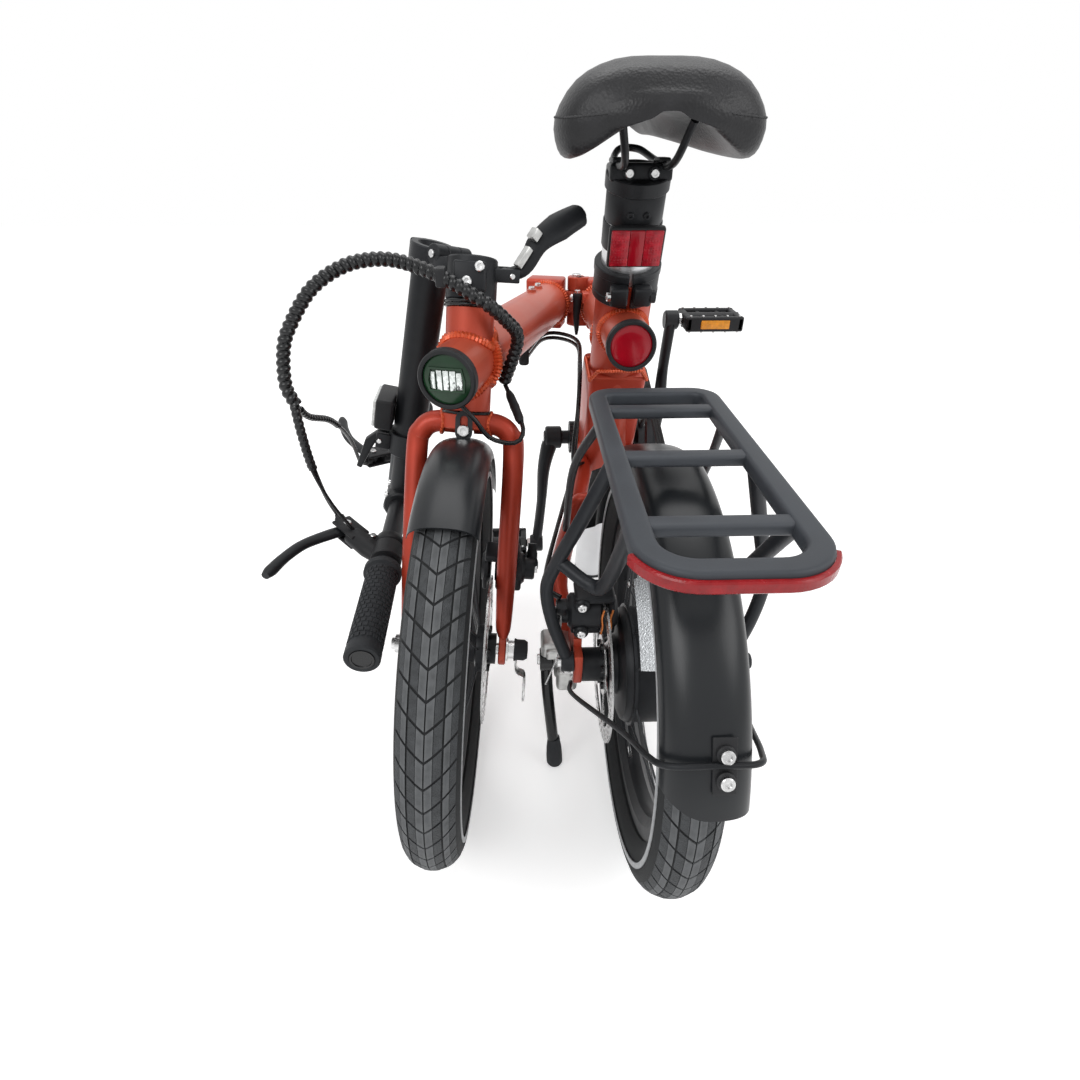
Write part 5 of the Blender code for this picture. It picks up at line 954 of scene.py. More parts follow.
for side in (-1, 1):
    bolt(bm, (side * 0.012, CAP.y - 0.0205, CAP.z - 0.001), -Y, 0.004, 0.003)
make(bm, "saddle_screws", STEEL, "seatpost")
STATIONS = [(0.0, 0.55, 0.02, 0.045), (0.06, 0.9, 0.004, 0.062), (0.2, 1.0, 0.0, 0.07),
    (0.38, 0.8, 0.004, 0.064), (0.55, 0.5, 0.012, 0.058), (0.75, 0.3, 0.018, 0.056), (0.93, 0.24, 0.02, 0.054),
    (1.0, 0.14, 0.026, 0.046)]
HALF_RING = [(0.0, 1.0, 0), (0.45, 0.97, 0), (0.8, 0.78, 0), (1.0, 0.42, 0), (0.97, 0.1, 0), (0.85, 0.0, 0),
    (0.66, 0.12, 0), (0.35, 0.45, 0)]
ring = HALF_RING + [(0.0, 0.5, 0)] + [(-x, z, 0) for x, z, _ in reversed(HALF_RING[1:])]
loop = smooth(ring[-1:] + ring + ring[:2], 3)[3:51]
rows = [[vec(0.086 * w * x, 0.122 + 0.262 * a, 0.622 + low + (high - low) * z) for x, z, _ in loop]
    for a, w, low, high in smooth(STATIONS, 5)]


def drawn_in(row, keep, shift):
    """A ring of points shrunk towards its middle and moved along the saddle, for its rounded ends."""
    middle = sum(row, Vector()) / len(row)
    return [middle + (p - middle) * keep + Y * shift for p in row]


rows = ([drawn_in(rows[0], 0.42, -0.005), drawn_in(rows[0], 0.8, -0.0036)] + rows
    + [drawn_in(rows[-1], 0.8, 0.0028), drawn_in(rows[-1], 0.42, 0.004)])
saddle = build(("saddle_pad", LEATHER, "seatpost", STILL, ("saddle",), 60), (rings, rows))
bm = bmesh.new()
for k in (9, 39):
    line = evenly([row[k] for row in rows[2:-2]], 0.0012)
    tube(bm, line, [0.0009 if i % 3 else 0.0005 for i in range(len(line))], 6)
make(bm, "saddle_stitches", THREAD, "seatpost")


# Rack
RACK_EYE = (-0.014, 0.219)  # y and z of the stays' lower bolts
STAY, THIN_STAY = 0.006, 0.0042


def rack_outline(inset):
    """The deck's outline drawn in by an inset, with the large corners at the near end."""
    half, near, far = 0.058 - inset, -0.19 + inset, 0.1 - inset
    small, large = max(0.006, 0.024 - inset), max(0.016, 0.036 - inset)
    return (arc((half - large, near + large), large, 0, -90, 12) + arc((large - half, near + large), large, -90,
        -180, 12) + arc((small - half, far - small), small, 180, 90, 8)
        + arc((half - small, far - small), small, 90, 0, 8))


def rail(bm, outer, inner, section, close):
    """A bar between two outlines; section gives (share of the width, height) pairs."""
    rows = []
    for (u, v), (s, t) in zip(outer, inner):
        rows.append([vec(u + (s - u) * w, v + (t - v) * w, RACK_MID + h) for w, h in section])
    rings(bm, rows, True, not close, close)


CORNERS = [(w, h) for sign, turn in ((1, 1), (-1, -1)) for w, h in ([(0.5 - sign * 0.5 + sign * a, turn * b)
    for a, b in ((0.0, 0.0028), (0.03, 0.0046), (0.1, 0.0057), (0.2, 0.006), (0.8, 0.006), (0.9, 0.0057),
    (0.97, 0.0046), (1.0, 0.0028))])]
bm = bmesh.new()
rail(bm, rack_outline(0.0), rack_outline(0.016), CORNERS, True)
for y in (0.053, -0.04, -0.134):
    box(bm, (-0.05, y - 0.007, RACK_MID - 0.004), (0.05, y + 0.007, RACK_MID + 0.005), 0.003, 3)
make(bm, "rack_frame", RACK, "rear_half", STILL, ("rear_rack",))
bm = bmesh.new()
for side in (-1, 1):
    tube(bm, smooth([(side * 0.051, -0.042, RACK_MID), (side * 0.071, -0.026, 0.382),
        (side * 0.0905, -0.01, 0.327), (side * 0.0975, -0.005, 0.298), (side * 0.092, -0.008, 0.262),
        (side * 0.0778, -0.014, 0.222)], 8), STAY, 20)
    tube(bm, smooth([(side * 0.088, -0.011, 0.333), (side * 0.0635, -0.03, 0.322),
        (side * 0.052, -0.044, 0.331), (side * 0.05, -0.13, RACK_MID)], 8), STAY, 20)
    tube(bm, smooth([(side * 0.051, 0.035, RACK_MID), (side * 0.0667, 0.11, 0.36),
        (side * 0.0667, 0.186, 0.2435)], 6), THIN_STAY, 14)
    rod(bm, (side * 0.0718, *RACK_EYE), (side * 0.0838, *RACK_EYE), 0.0095, 28)
make(bm, "rack_stays", RACK_STAY_SHADE, "rear_half")
bm = bmesh.new()
for side in (-1, 1):
    bolt(bm, (side * 0.0838, *RACK_EYE), X * side, 0.005, 0.004)
make(bm, "rack_bolts", STEEL, "rear_half")
near_end = [i for i, p in enumerate(rack_outline(0.0)) if p[1] < -0.16]
bm = bmesh.new()
strip_out, strip_in = rack_outline(-0.0035), rack_outline(-0.0003)
rail(bm, [strip_out[i] for i in near_end], [strip_in[i] for i in near_end],
    [(0.0, 0.0012), (0.25, 0.0022), (1.0, 0.0022), (1.0, -0.0055), (0.25, -0.0055), (0.0, -0.0045)], False)
make(bm, "rack_strip", RED_TAPE, "rear_half", STILL, ("rack_reflector",))

# Mudguard stay and its clip
half_wire = [(-0.074, -0.015, 0.1925), (-0.0745, -0.045, 0.2075), (-0.0475, -0.1431, 0.2715),
    (-0.0385, -0.18, 0.2925), (-0.029, -0.1975, 0.3035)]
build(("guard_wire", BLACK, "rear_half", STILL, ("mudguard_stay",)),
      (tube, smooth(half_wire + [(0, -0.201, 0.307)] + mirrored(half_wire)[5:], 8), 0.0022, 14))


def on_guard(degrees, out=0.0):
    """A point over the rear guard's middle line, and the direction away from the axle there."""
    away = vec(0, -cos(radians(degrees)), sin(radians(degrees)))
    return AXLE + away * (0.2223 + out), away


bm, screws = bmesh.new(), bmesh.new()
spot, away = on_guard(27.2, 0.001)
cuboid(bm, spot + X * 0.007, (0.016, 0.0022, 0.038), Matrix.Rotation(-radians(27.2), 4, "X"), 0.001)
for degrees in (29.3, 25.0):
    spot, away = on_guard(degrees, 0.0018)
    spot.x = 0.007
    lathe(bm, [(0, 0), (0.0062, 0), (0.0062, 0.003), (0.005, 0.004), (0, 0.004)], spot, away, 24)
    bolt(screws, spot + away * 0.004, away, 0.0046, 0.0034)
make(bm, "guard_clip", PLASTIC, "rear_half")
make(screws, "guard_screws", STEEL, "rear_half")

# Rear axle, caliper and kickstand
build(("rear_axle_nuts", STEEL, "rear_half", STILL, ("rear_axle",)),
      (lathe, [(0, 0.104), (0.007, 0.104), (0.0105, 0.099), (0.0105, 0.082), (0.013, 0.081), (0.013, 0.0718),
          (0.006, 0.0718), (0.006, -0.0718), (0.013, -0.0718), (0.013, -0.0738), (0.0098, -0.0738),
          (0.0098, -0.0798), (0.006, -0.0838), (0, -0.0838)], AXLE, X, 24))
build(("rear_axle_cap", RUBBER, "rear_half"),
      (lathe, [(0, 0.1042), (0.0074, 0.1042), (0.011, 0.099), (0.011, 0.083), (0.01, 0.0824), (0, 0.0824)],
          AXLE, X, 32))


def caliper(prefix, low, high, rotor_x, slot_top, body, move, stands_for):
    """A cable disc caliper: two halves astride the rotor, a bridge, an arm, knobs and pad springs."""
    low, high = Vector(low), Vector(high)
    bm = bmesh.new()
    middle = vec(low.x, (low.y + high.y) / 2, (low.z + high.z) / 2 - 0.002)
    for start, end in ((low.x, rotor_x - 0.0022), (rotor_x + 0.0022, high.x)):
        rod(bm, vec(start, middle.y, middle.z), vec(end, middle.y, middle.z), 0.0172, 40, 0.003)
        box(bm, (start + 0.003, low.y + 0.008, low.z), (end - 0.001, high.y, low.z + 0.018), 0.003, 3)
    box(bm, (low.x + 0.006, low.y + 0.002, slot_top), (high.x - 0.003, high.y - 0.002, high.z), 0.003, 3)
    for z in (low.z + 0.009, high.z - 0.008):
        rod(bm, (low.x + 0.012, low.y + 0.014, z), (low.x + 0.012, low.y - 0.001, z), 0.007, 28, 0.0012)
    rod(bm, middle + X * 0.004, middle - X * 0.0105, 0.0115, 36, 0.0015)
    tube(bm, smooth([middle - X * 0.007, middle + vec(-0.007, -0.012, 0.008),
        middle + vec(-0.007, -0.019, 0.02)], 4), [0.0075] * 3 + [0.0062] * 3 + [0.005] * 3, 14, 0.5)
    rod(bm, (high.x - 0.001, middle.y, middle.z), (high.x + 0.0005, middle.y, middle.z), 0.0105, 32)
    make(bm, prefix + "_body", BLACK, body, move, stands_for)
    bm = bmesh.new()
    for z in (low.z + 0.009, high.z - 0.008):
        bolt(bm, (low.x + 0.012, low.y - 0.001, z), -Y, 0.0042, 0.0026)
    bolt(bm, middle - X * 0.0105, -X, 0.0042, 0.003)
    make(bm, prefix + "_screws", STEEL, body, move)
    bm = bmesh.new()
    for x in (rotor_x - 0.0045, rotor_x + 0.0035):
        path = smooth([(x, low.y - 0.0005, low.z + 0.008), (x + 0.001, low.y - 0.002, low.z + 0.018),
            (x, low.y - 0.0022, low.z + 0.028), (x + 0.002, low.y - 0.0005, low.z + 0.036)], 5)
        tube(bm, path, 0.0011, 8)
    make(bm, prefix + "_springs", COPPER, body, move)


caliper("rear_brake", (-0.077, -0.006, 0.238), (-0.031, 0.029, 0.286), -0.042, 0.278, "rear_half", STILL,
    ("rear_caliper",))
build(("rear_brake_wire", STEEL, "rear_half"),
      (tube, [(-0.084, -0.0005, 0.2738), (-0.084, -0.002, 0.245), (-0.0835, -0.0025, 0.233)], 0.0009, 8),
      (tube, [(-0.0835, -0.0025, 0.233), (-0.089, -0.006, 0.208), (-0.0985, -0.015, 0.19)], 0.0007, 6))

build(("stand_casting", ALLOY, "rear_half", STILL, ("kickstand_bracket",)),
      (box, (-0.0872, 0.034, 0.146), (-0.062, 0.07, 0.176), 0.005, 4),
      (box, (-0.0872, 0.037, 0.16), (-0.066, 0.067, 0.1909), 0.003, 3),
      (box, (-0.085, 0.024, 0.138), (-0.063, 0.04, 0.166), 0.005, 4),
      (lathe, [(0, -0.004), (0.0075, -0.004), (0.0088, -0.003), (0.0088, 0.01), (0, 0.01)],
          (-0.074, 0.034, 0.179), -Y, 28),
      (box, (-0.101, 0.036, 0.1745), (-0.066, 0.066, 0.1935), 0.005, 4),
      (box, (-0.096, 0.031, 0.177), (-0.072, 0.04, 0.189), 0.003, 3),
      (rod, STAND + X * 0.012, STAND - X * 0.007, 0.004))
build(("stand_screws", STEEL, "rear_half"),
      (bolt, STAND - X * 0.007, -X, 0.0062, 0.003),
      (bolt, (-0.074, 0.024, 0.179), -Y, 0.0048, 0.003))
bm = bmesh.new()
lathe(bm, sleeve(0.0043, 0.0125, -0.007, 0.007, 0.0008, 0.0008), STAND, X, 36, True)
shank = smooth([STAND - Z * 0.008, STAND + vec(0.002, -0.003, -0.05), vec(-0.085, 0.041, 0.022)], 8)
tube(bm, shank, 0.0065, 24)
make(bm, "stand_leg", GLOSS, "kickstand", STILL, ("kickstand_leg",))
bm = bmesh.new()
start, end = vec(-0.0855, 0.042, 0.03), vec(-0.0845, 0.04, 0.0026)
along = end - start
tube(bm, [start - along * 0.5, start - along * 0.2, start, start + along * 0.5, start + along * 0.9, end],
    [0.0072, 0.008, 0.0088, 0.0095, 0.0095, 0.008], 24)
make(bm, "stand_foot", RUBBER, "kickstand")


def spread(values, steps):
    """Values drawn out in straight lines, with this many steps between each two."""
    found = []
    for a, b in zip(values, values[1:]):
        found += [a + (b - a) * k / steps for k in range(steps)]
    return found + [values[-1]]


def gear(radius, depth, teeth):
    """An outline with square teeth."""
    tooth = ((radius - depth, 0.0), (radius, 0.12), (radius, 0.5), (radius - depth, 0.62))
    return [(r * cos(a), r * sin(a)) for k in range(teeth) for r, a in ((r, 2 * pi * (k + share) / teeth)
        for r, share in tooth)]


# Bottom bracket cups, cranks, pedals, sprocket, belt and cog
AT_BRACKET = Matrix.Translation(BRACKET) @ upright(X)
AT_AXLE = Matrix.Translation(AXLE) @ upright(X)
bm = bmesh.new()
for low, high in ((-0.0475, -0.0385), (0.0385, 0.0475)):
    ring_plate(bm, gear(0.0235, 0.0014, 22), circle(0.0105, 88), low, high, AT_BRACKET)
for low, high in ((-0.0385, -0.0368), (0.0368, 0.0385)):
    ring_plate(bm, circle(0.024, 56), circle(0.0105, 56), low, high, AT_BRACKET)
make(bm, "bracket_cups", BLACK, "rear_half", STILL, ("bottom_bracket",))
for side, word, y, z in ((1, "right", 0.46448, 0.42061), (-1, "left", 0.37352, 0.10339)):
    boss, tip = BRACKET + X * side * 0.072, vec(side * 0.098, y, z)
    run = tip - boss
    bm = bmesh.new()
    rod(bm, boss - X * side * 0.013, boss + X * side * 0.011, 0.0165, 40, 0.002)
    tube(bm, smooth([boss, boss + run * 0.1 + X * side * 0.004, boss + run * 0.3 + X * side * 0.006,
        boss + run * 0.6 + X * side * 0.002, tip], 6), spread([0.0135, 0.0138, 0.013, 0.0118, 0.0115], 6), 28,
        spread([0.9, 0.85, 0.72, 0.62, 0.66], 6), X)
    rod(bm, tip - X * side * 0.01, tip + X * side * 0.01, 0.013, 36, 0.002)
    rod(bm, tip, vec(side * 0.1875, y, z), 0.0055, 20)
    if side > 0:
        rod(bm, boss, BRACKET - X * 0.085, 0.01, 32)
    make(bm, "arm_" + word, BLACK, "crankset", STILL, ("crank_" + word,))
    build(("arm_bolts_" + word, STEEL, "crankset"),
          (bolt, boss + X * side * 0.0108, X * side, 0.0085, 0.0035),
          (lathe, [(0.0056, 0), (0.0088, 0), (0.0088, 0.004), (0.0056, 0.004)], tip + X * side * 0.01, X * side,
              6, True))
    middle = vec(side * 0.1535, y, z)
    body = "pedal_" + word
    bm, pins, amber = bmesh.new(), bmesh.new(), bmesh.new()
    lathe(bm, [(0.0058, -0.0395), (0.01, -0.0395), (0.01, 0.0395), (0.0058, 0.0395)], middle, X, 28, True)
    for edge in (-1, 1):
        cuboid(bm, middle + Y * edge * 0.0265, (0.08, 0.009, 0.02), None, 0.0025, 3)
        cuboid(bm, middle + X * edge * 0.0355, (0.009, 0.062, 0.019), None, 0.0025, 3)
        for x in (-0.014, 0.014):
            cuboid(bm, middle + vec(x, edge * 0.015, 0), (0.005, 0.018, 0.015), None, 0.001)
        cuboid(amber, middle + Y * edge * 0.0308, (0.04, 0.003, 0.0115), None, 0.0008)
        for x in (-0.034, -0.017, 0.0, 0.017, 0.034):
            for up in (-1, 1):
                rod(pins, middle + vec(x, edge * 0.0265, up * 0.0095),
                    middle + vec(x, edge * 0.0265, up * 0.0118), 0.0017, 10, 0.0004)
    make(bm, body + "_cage", PLASTIC, body, STILL, (body,))
    make(pins, body + "_pins", STEEL, body)
    make(amber, body + "_reflectors", AMBER, body)
bm = bmesh.new()
ring_plate(bm, circle(0.098, 96), circle(0.082, 96), 0.051, 0.0587, AT_BRACKET)
ring_plate(bm, circle(0.036, 64), circle(0.0106, 64), 0.051, 0.0587, AT_BRACKET)
for k in range(5):
    prism(bm, arc((0, 0), 0.0835, 72 * k - 11, 72 * k + 11, 6) + arc((0, 0), 0.035, 72 * k + 12, 72 * k - 12,
        4), 0.0518, 0.0579, AT_BRACKET, 0.0012)
make(bm, "sprocket_spider", BLACK, "crankset", STILL, ("front_sprocket",))
BELT_FRONT, BELT_REAR = 0.0986, 0.0366  # radii of the belt on the sprocket and on the cog
reach = Vector((BRACKET.y - AXLE.y, BRACKET.z - AXLE.z))
heading = math.degrees(math.atan2(reach.y, reach.x))
lean = math.degrees(math.acos((BELT_FRONT - BELT_REAR) / reach.length))


def belt_line(out):
    """The belt's path round the sprocket and the cog, this far outside them."""
    return (arc((BRACKET.y, BRACKET.z), BELT_FRONT + out, heading - lean, heading + lean, 60)
        + arc((AXLE.y, AXLE.z), BELT_REAR + out, heading + lean, heading + 360 - lean, 40))


bm = bmesh.new()
ring_plate(bm, belt_line(0.0031), belt_line(0.0002), 0.0505, 0.0605, SIDE)
for k in range(3):
    low = 0.0513 + 0.0032 * k
    ring_plate(bm, belt_line(0.0037), belt_line(0.0025), low, low + 0.002, SIDE)
make(bm, "belt_band", BELT, "rear_half", STILL, ("drive_belt",))
build(("cog_teeth", ALLOY, "rear_cog", STILL, ("rear_cog",)),
      (ring_plate, gear(0.036, 0.002, 24), circle(0.013, 96), 0.0495, 0.0615, AT_AXLE))

# Fork with its race, guard strap, axle, caliper and magnet plate
CROWN = head(-0.0583)
bm = bmesh.new()
lathe(bm, [(0, 0.0), (0.0222, 0.0), (0.0235, 0.0012), (0.0235, 0.014), (0.0228, 0.0148), (0, 0.0148)],
    head(-0.0638), HEAD_UP, 56)
for side in (-1, 1):
    knee = CROWN + X * side * 0.0475 - HEAD_UP * 0.03
    heel = vec(side * 0.0475, FRONT_AXLE.y, FRONT_AXLE.z)
    ankle = heel + (knee - heel).normalized() * 0.013
    tube(bm, smooth([CROWN + X * side * 0.008, CROWN + X * side * 0.03 - HEAD_UP * 0.0005,
        CROWN + X * side * 0.0425 - HEAD_UP * 0.0095, knee, knee.lerp(ankle, 0.6), knee.lerp(ankle, 0.92),
        ankle], 8), spread([0.0105, 0.0105, 0.0105, 0.0105, 0.01, 0.0095, 0.011], 8), 28,
        spread([1, 1, 1, 1, 1, 0.85, 0.45], 8), X)
    rod(bm, FRONT_AXLE + X * side * 0.044, FRONT_AXLE + X * side * 0.0515, 0.016, 36, 0.0012)
box(bm, (-0.053, FRONT_AXLE.y - 0.0517, FRONT_AXLE.z + 0.036), (-0.043, FRONT_AXLE.y - 0.02,
    FRONT_AXLE.z + 0.056), 0.0015)
make(bm, "fork_legs", PAINT, "fork", FORK, ("fork",))
bm = bmesh.new()
for side in (-1, 1):
    bead(bm, seam(CROWN, X * side, 0.0109, HEAD, HEAD_UP, 0.0238, 40), 0.0018)
make(bm, "fork_weld_beads", WELD, "fork", FORK)
build(("lower_race", GLOSS, "fork", FORK),
      (lathe, sleeve(0.015, 0.0243, -0.0492, -0.0468, 0.0005, 0.0006), HEAD, HEAD_UP, 64, True))
away = (CROWN + AHEAD * 0.024 - FRONT_AXLE).normalized()
behind = X.cross(away)
strap = Matrix.Translation(FRONT_AXLE + away * 0.2215 - behind * 0.0006) @ Matrix((X, away,
    behind)).transposed().to_4x4()


def stadium(half, tall):
    """An outline with two round ends."""
    return arc((0, tall), half, 0, 180, 12) + arc((0, -tall), half, 180, 360, 12)


build(("strap_plate", BLACK, "fork", FORK),
      (ring_plate, stadium(0.008, 0.0062), stadium(0.0036, 0.0056), -0.0018, 0.0018, strap),
      (rod, strap @ vec(0, -0.004, 0.0016), strap @ vec(0, -0.004, 0.008), 0.0062))
build(("strap_bolt", STEEL, "fork", FORK), (bolt, strap @ vec(0, -0.0045, -0.0018), -behind, 0.0056, 0.004))
build(("front_axle_nuts", STEEL, "fork", FORK, ("front_axle",)),
      (lathe, [(0, 0.0648), (0.005, 0.0645), (0.006, 0.0636), (0.006, 0.0608), (0.0095, 0.06), (0.0095, 0.054),
          (0.012, 0.0535), (0.012, 0.0518), (0.006, 0.0518), (0.006, -0.0518), (0.012, -0.0518),
          (0.012, -0.0535), (0.0095, -0.054), (0.0095, -0.06), (0, -0.06)], FRONT_AXLE, X, 24))
build(("front_axle_cap", RUBBER, "fork", FORK),
      (lathe, [(0, -0.0596), (0.0112, -0.0596), (0.0116, -0.0604), (0.0106, -0.063), (0.0106, -0.07),
          (0.0085, -0.0735), (0, -0.074)], FRONT_AXLE, X, 32))
caliper("front_brake", (-0.066, FRONT_AXLE.y - 0.086, FRONT_AXLE.z + 0.034),
    (-0.021, FRONT_AXLE.y - 0.052, FRONT_AXLE.z + 0.076), -0.0325, FRONT_AXLE.z + 0.068, "fork", FORK,
    ("front_caliper",))
build(("magnet_hook", STEEL, "fork", FORK, ("magnet_plate",)),
      (tube, smooth([FRONT_AXLE + vec(-0.0625, 0, z) + X * out
          for out, z in ((0.0, -0.01), (0.0, -0.024), (-0.003, -0.03),
              (-0.0095, -0.034), (-0.01, -0.042))], 5), 0.006,
          16, 0.2, X),
      (lathe, sleeve(0, 0.0156, -0.0012, 0.0012, 0.0006, 0.0006), FRONT_AXLE + vec(-0.0725, 0, -0.0525), X, 40))

# Stem base with its hinge, and the latch lever
outward = STEM_PIVOT - STEM_TOP
outward = (outward - HEAD_UP * outward.dot(HEAD_UP)).normalized()
HINGE_TURN = Matrix((outward, outward.cross(HEAD_UP), HEAD_UP)).transposed().to_4x4()
LEVER_AT = vec(-0.1285, 0.168, 0.531)


def level(point, height):
    """The point moved along the steering axis to this height over the stem's split."""
    return point + HEAD_UP * (height - (point - STEM_TOP).dot(HEAD_UP))


bm = bmesh.new()
height = (STEM_TOP - head(0.0531)).length
lathe(bm, [(0, 0), (0.0225, 0), (0.0235, 0.001), (0.0235, height - 0.0018), (0.0225, height - 0.0004),
    (0, height - 0.0004)], head(0.0531), HEAD_UP, 64)
for side in (-1, 1):
    first, last = STEM_PIVOT + STEM_AXIS * side * 0.008, STEM_PIVOT + STEM_AXIS * side * 0.021
    rod(bm, first, last, 0.0088, 32, 0.0008)
    cuboid(bm, level((first + last) / 2 - outward * 0.009, -0.0075), (0.018, 0.0126, 0.013), HINGE_TURN, 0.0012)
lever_here = FORK.inverted() @ LEVER_AT
root = HEAD + HEAD_UP * ((lever_here.z - HEAD.z) / HEAD_UP.z)
rod(bm, root, lever_here + (root - lever_here).normalized() * 0.008, 0.0075, 28, 0.001)
cuboid(bm, head(0.0715) + AHEAD * 0.019, (0.03, 0.012, 0.026), Matrix.Rotation(TILT, 4, "X"), 0.003, 3)
make(bm, "stem_casting", BLACK, "fork", FORK, ("stem_base",))
build(("stem_bolts", STEEL, "fork", FORK),
      (rod, STEM_PIVOT - STEM_AXIS * 0.0235, STEM_PIVOT + STEM_AXIS * 0.0235, 0.0035, 20),
      (bolt, head(0.0795) + AHEAD * 0.025 - X * 0.009, AHEAD, 0.0044, 0.0034),
      (bolt, head(0.0665) + AHEAD * 0.025 + X * 0.002, AHEAD, 0.0044, 0.0034))
paddle = smooth([LEVER_AT, (-0.113, 0.171, 0.536), (-0.0998, 0.18, 0.556), (-0.081, 0.19, 0.568),
    (-0.061, 0.2, 0.577), (-0.056, 0.2025, 0.5785)], 6)
bm = bmesh.new()
tube(bm, paddle, spread([0.0055, 0.007, 0.0105, 0.0138, 0.0115, 0.004], 6), 24,
    spread([0.95, 0.7, 0.45, 0.4, 0.45, 0.6], 6), vec(0.025, 0.842, -0.539))
lever_axis = vec(0.461, -0.887, 0.0).normalized()
rod(bm, LEVER_AT - lever_axis * 0.007, LEVER_AT + lever_axis * 0.007, 0.0053, 28)
make(bm, "latch_paddle", BLACK, "stem_lever", STILL, ("stem_lever",))
bm = bmesh.new()
inward = (FORK @ root - LEVER_AT).normalized()
cheek = Matrix((lever_axis, inward, lever_axis.cross(inward))).transposed().to_4x4()
for side in (-1, 1):
    cuboid(bm, LEVER_AT + inward * 0.006 + lever_axis * side * 0.0092, (0.0032, 0.026, 0.013), cheek, 0.0012)
make(bm, "latch_cheeks", BLACK, "fork")
build(("latch_pin", STEEL, "fork"),
      (rod, LEVER_AT - lever_axis * 0.0118, LEVER_AT + lever_axis * 0.0118, 0.0027))
bm = bmesh.new()
slant = (paddle[14] - paddle[6]).to_track_quat("Z", "Y").to_matrix().to_4x4()
cuboid(bm, paddle[8] + vec(-0.005, -0.0062, 0.004), (0.008, 0.006, 0.02), slant, 0.001)
cuboid(bm, paddle[13] + vec(-0.006, -0.006, 0.005), (0.01, 0.008, 0.01), slant, 0.0012)
make(bm, "latch_link", ALLOY, "stem_lever")

# Folding handlepost
BAR_CLAMP = STEM_TOP + HEAD_UP * 0.213 + AHEAD * 0.031
POST_TURN = Matrix.Rotation(TILT, 4, "X")
bm = bmesh.new()
lathe(bm, [(0.011, 0.006), (0.015, 0.0003), (0.0205, 0.0003), (0.0215, 0.0015), (0.0215, 0.024),
    (0.0195, 0.0262), (0.018, 0.0275), (0.018, 0.199), (0.0212, 0.1992), (0.022, 0.2), (0.022, 0.2242),
    (0.0212, 0.225), (0.015, 0.225), (0.015, 0.038), (0.011, 0.038)], STEM_TOP, HEAD_UP, 64, True)
rod(bm, STEM_PIVOT - STEM_AXIS * 0.0075, STEM_PIVOT + STEM_AXIS * 0.0075, 0.0088, 32, 0.0008)
cuboid(bm, level(STEM_PIVOT - outward * 0.01, 0.0075), (0.02, 0.01425, 0.013), HINGE_TURN, 0.0012)
cuboid(bm, STEM_TOP - outward * 0.021 + HEAD_UP * 0.012, (0.012, 0.02, 0.022), HINGE_TURN, 0.003, 3)
for side in (-1, 1):
    cuboid(bm, BAR_CLAMP - AHEAD * 0.004 + X * side * 0.0085, (0.006, 0.016, 0.018), POST_TURN, 0.0012)
make(bm, "post_body", BLACK, "handlepost", POST, ("handlepost",))
build(("clamp_handle", BLACK, "bar_clamp", POST, ("bar_clamp_lever",)),
      (prism, [(BAR_CLAMP.y + y, BAR_CLAMP.z + z) for y, z in ((-0.005, -0.006), (0.006, -0.006),
          (0.014, 0.01), (0.01, 0.046), (0.004, 0.046), (0.003, 0.01))], -0.0052, 0.0052, SIDE, 0.0015))
build(("clamp_pin", STEEL, "bar_clamp", POST), (rod, BAR_CLAMP - X * 0.013, BAR_CLAMP + X * 0.013, 0.0028, 16))
lens = STEM_TOP + HEAD_UP * 0.176 + AHEAD * 0.0293
build(("white_reflector_shell", PLASTIC, "handlepost", POST, ("front_reflector",)),
      (cuboid, lens - AHEAD * 0.0015, (0.05, 0.019, 0.034), POST_TURN, 0.003, 3))
build(("white_reflector_lens", CLEAR, "handlepost", POST),
      (cuboid, lens + AHEAD * 0.009, (0.046, 0.004, 0.03), POST_TURN, 0.0015))

# Handlebar, grips, brake levers and display
BAR_BORE = 0.0114
BAR_HALF = 0.268
KNOB_ROWS, KNOBS = 17, 18
build(("bar_tube", BLACK, "handlebar", POST, ("handlebar",)),
      (rod, STEM_TOP + HEAD_UP * 0.0384, BAR, 0.0145, 48),
      (rod, BAR - X * BAR_HALF, BAR + X * BAR_HALF, 0.0111, 40),
      (rod, BAR - X * 0.024, BAR + X * 0.024, 0.0181, 48, 0.002))
bm = bmesh.new()
for x in (-0.014, 0.014):
    for up in (-1, 1):
        bolt(bm, BAR + vec(x, 0, 0) + AHEAD * 0.015 + HEAD_UP * up * 0.0085, AHEAD, 0.0036, 0.004)
make(bm, "bar_bolts", STEEL, "handlebar", POST)


def around_bar(x, radius, angle):
    """A point round the handlebar."""
    return BAR + X * x + AHEAD * (radius * cos(angle)) + HEAD_UP * (radius * sin(angle))


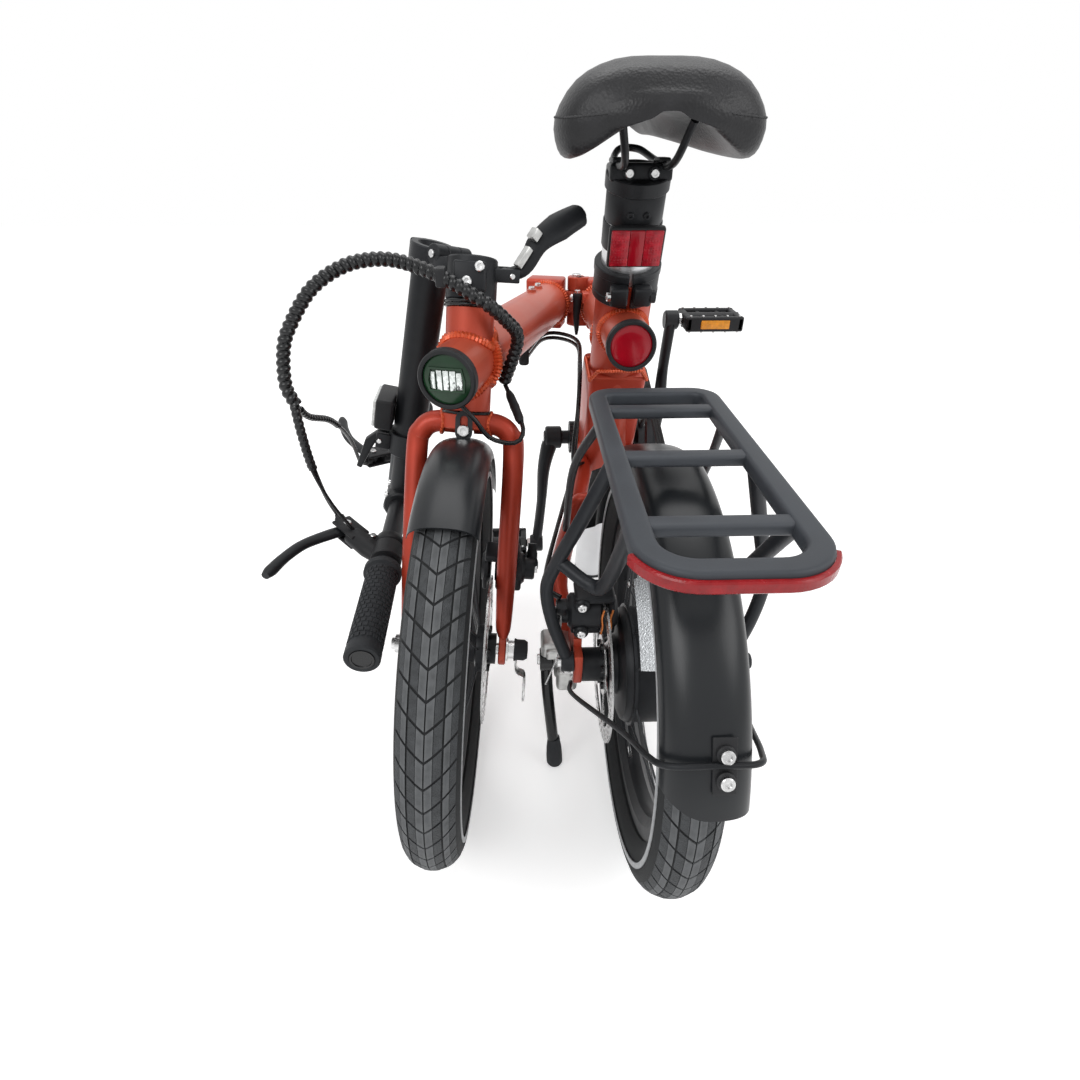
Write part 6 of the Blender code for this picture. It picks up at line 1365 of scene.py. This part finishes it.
for side, word in ((1, "right"), (-1, "left")):
    here = ("handlebar", POST)
    bm = bmesh.new()
    lathe(bm, [(BAR_BORE, 0.146), (0.0185, 0.146), (0.019, 0.1468), (0.019, 0.1535), (0.016, 0.1545),
        (0.015, 0.156), (0.015, 0.26), (0.016, 0.2615), (0.016, 0.27), (0.0148, 0.271), (BAR_BORE, 0.271)], BAR,
        X * side, 48, True)
    for i in range(KNOB_ROWS):
        for j in range(KNOBS):
            angle = 2 * pi * (j + 0.5 * (i % 2)) / KNOBS
            x = side * (0.1585 + 0.006 * i)
            rings(bm, [[around_bar(x + u * 0.0024 * k, r, angle + v * 0.14 * k)
                for u, v in ((-1, -1), (1, -1), (1, 1), (-1, 1))] for r, k in ((0.0146, 1.0), (0.016, 0.8))])
    make(bm, "rubber_grip_" + word, RUBBER, *here, ("grip_" + word,))
    build(("grip_end_" + word, GLOSS, *here),
          (lathe, [(0, 0.2708), (0.0108, 0.2708), (0.0108, 0.2716), (0.009, 0.2716), (0.0084, 0.2706),
              (0, 0.2706)], BAR, X * side, 32))
    pivot = BAR + X * side * 0.085 + AHEAD * 0.048
    collar, switch = BAR + X * side * 0.121, BAR + X * side * 0.101
    arm = (collar + AHEAD * 0.01 - pivot).normalized()
    cable_end = POST.inverted() @ (BRAKE_LEAD if side > 0 else FAR_LEAD)[-1]
    body_turn = Matrix((arm, HEAD_UP.cross(arm), HEAD_UP)).transposed().to_4x4()
    bm = bmesh.new()
    lathe(bm, sleeve(BAR_BORE, 0.0161, -0.012, 0.012, 0.0007, 0.0008), collar, X, 40, True)
    tube(bm, smooth([pivot + arm * 0.054, pivot + arm * 0.04, pivot + arm * 0.015, pivot + arm * 0.012], 5),
        spread([0.011, 0.0132, 0.0128, 0.0104], 5), 24, 0.72, HEAD_UP)
    for up in (-1, 1):
        cuboid(bm, pivot + arm * 0.006 + HEAD_UP * up * 0.0064, (0.036, 0.023, 0.0038), body_turn, 0.0018, 3)
    root_end = pivot - X * side * 0.0085 + AHEAD * 0.0042
    tube(bm, [pivot - X * side * 0.0074 + AHEAD * 0.0037, root_end, root_end.lerp(cable_end, 0.4),
        root_end.lerp(cable_end, 0.42), root_end.lerp(cable_end, 0.75), root_end.lerp(cable_end, 0.77),
        cable_end], [0.0074, 0.0074, 0.0068, 0.0056, 0.0056, 0.0042, 0.003], 24)
    rod(bm, pivot - HEAD_UP * 0.008, pivot + HEAD_UP * 0.008, 0.0025)
    lathe(bm, sleeve(BAR_BORE, 0.0156, -0.006, 0.006, 0.0006, 0.001), switch, X, 40, True)
    cuboid(bm, switch + AHEAD * 0.0175, (0.011, 0.012, 0.015), POST_TURN, 0.002, 3)
    make(bm, "lever_mount_" + word, PLASTIC, *here, ("brake_bracket_" + word,))
    bm = bmesh.new()
    for up in (-1, 1):
        bolt(bm, pivot + HEAD_UP * up * 0.0083, HEAD_UP * up, 0.0042, 0.0022)
    bolt(bm, collar - AHEAD * 0.0158 - X * side * 0.004, -AHEAD, 0.0034, 0.003)
    bolt(bm, switch + AHEAD * 0.018 - HEAD_UP * 0.0074, -HEAD_UP, 0.0034, 0.003)
    make(bm, "lever_screws_" + word, STEEL, *here)
    blade = smooth([pivot + X * side * u + AHEAD * v for u, v in ((0.002, 0.002), (0.014, 0.015),
        (0.038, 0.036), (0.064, 0.048), (0.086, 0.0545), (0.095, 0.057))], 6)
    build(("brake_blade_" + word, BLACK, "brake_lever_" + word, POST, ("brake_lever_" + word,)),
          (tube, blade, spread([0.008, 0.0078, 0.0064, 0.006, 0.0064, 0.004], 6), 20,
              spread([0.46, 0.48, 0.62, 0.7, 0.75, 0.9], 6), HEAD_UP),
          (lathe, [(0.0028, -0.0038), (0.007, -0.0038), (0.007, 0.0038), (0.0028, 0.0038)], pivot, HEAD_UP, 28,
              True))
screen = BAR - X * 0.048 + AHEAD * 0.01 - HEAD_UP * 0.02
build(("display_shell", GREY, "handlebar", POST, ("display",)),
      (cuboid, screen, (0.044, 0.02, 0.062), POST_TURN, 0.004, 4),
      (lathe, [(BAR_BORE, 0.044), (0.0151, 0.044), (0.0151, 0.056), (BAR_BORE, 0.056)], BAR, -X, 36, True))
build(("display_glass", SCREEN, "handlebar", POST),
      (cuboid, screen - AHEAD * 0.0098 + HEAD_UP * 0.006, (0.036, 0.0016, 0.044), POST_TURN, 0.0006))
bm = bmesh.new()
for x in (-0.012, 0.0, 0.012):
    cuboid(bm, screen - AHEAD * 0.01 - HEAD_UP * 0.0235 + X * x, (0.009, 0.0024, 0.007), POST_TURN, 0.001)
make(bm, "display_buttons", RUBBER, "handlebar", POST)

# The one CAD node that is shown as it is
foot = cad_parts["seatpost_foot"]
foot.data.materials.clear()
foot.data.materials.append(RUBBER)
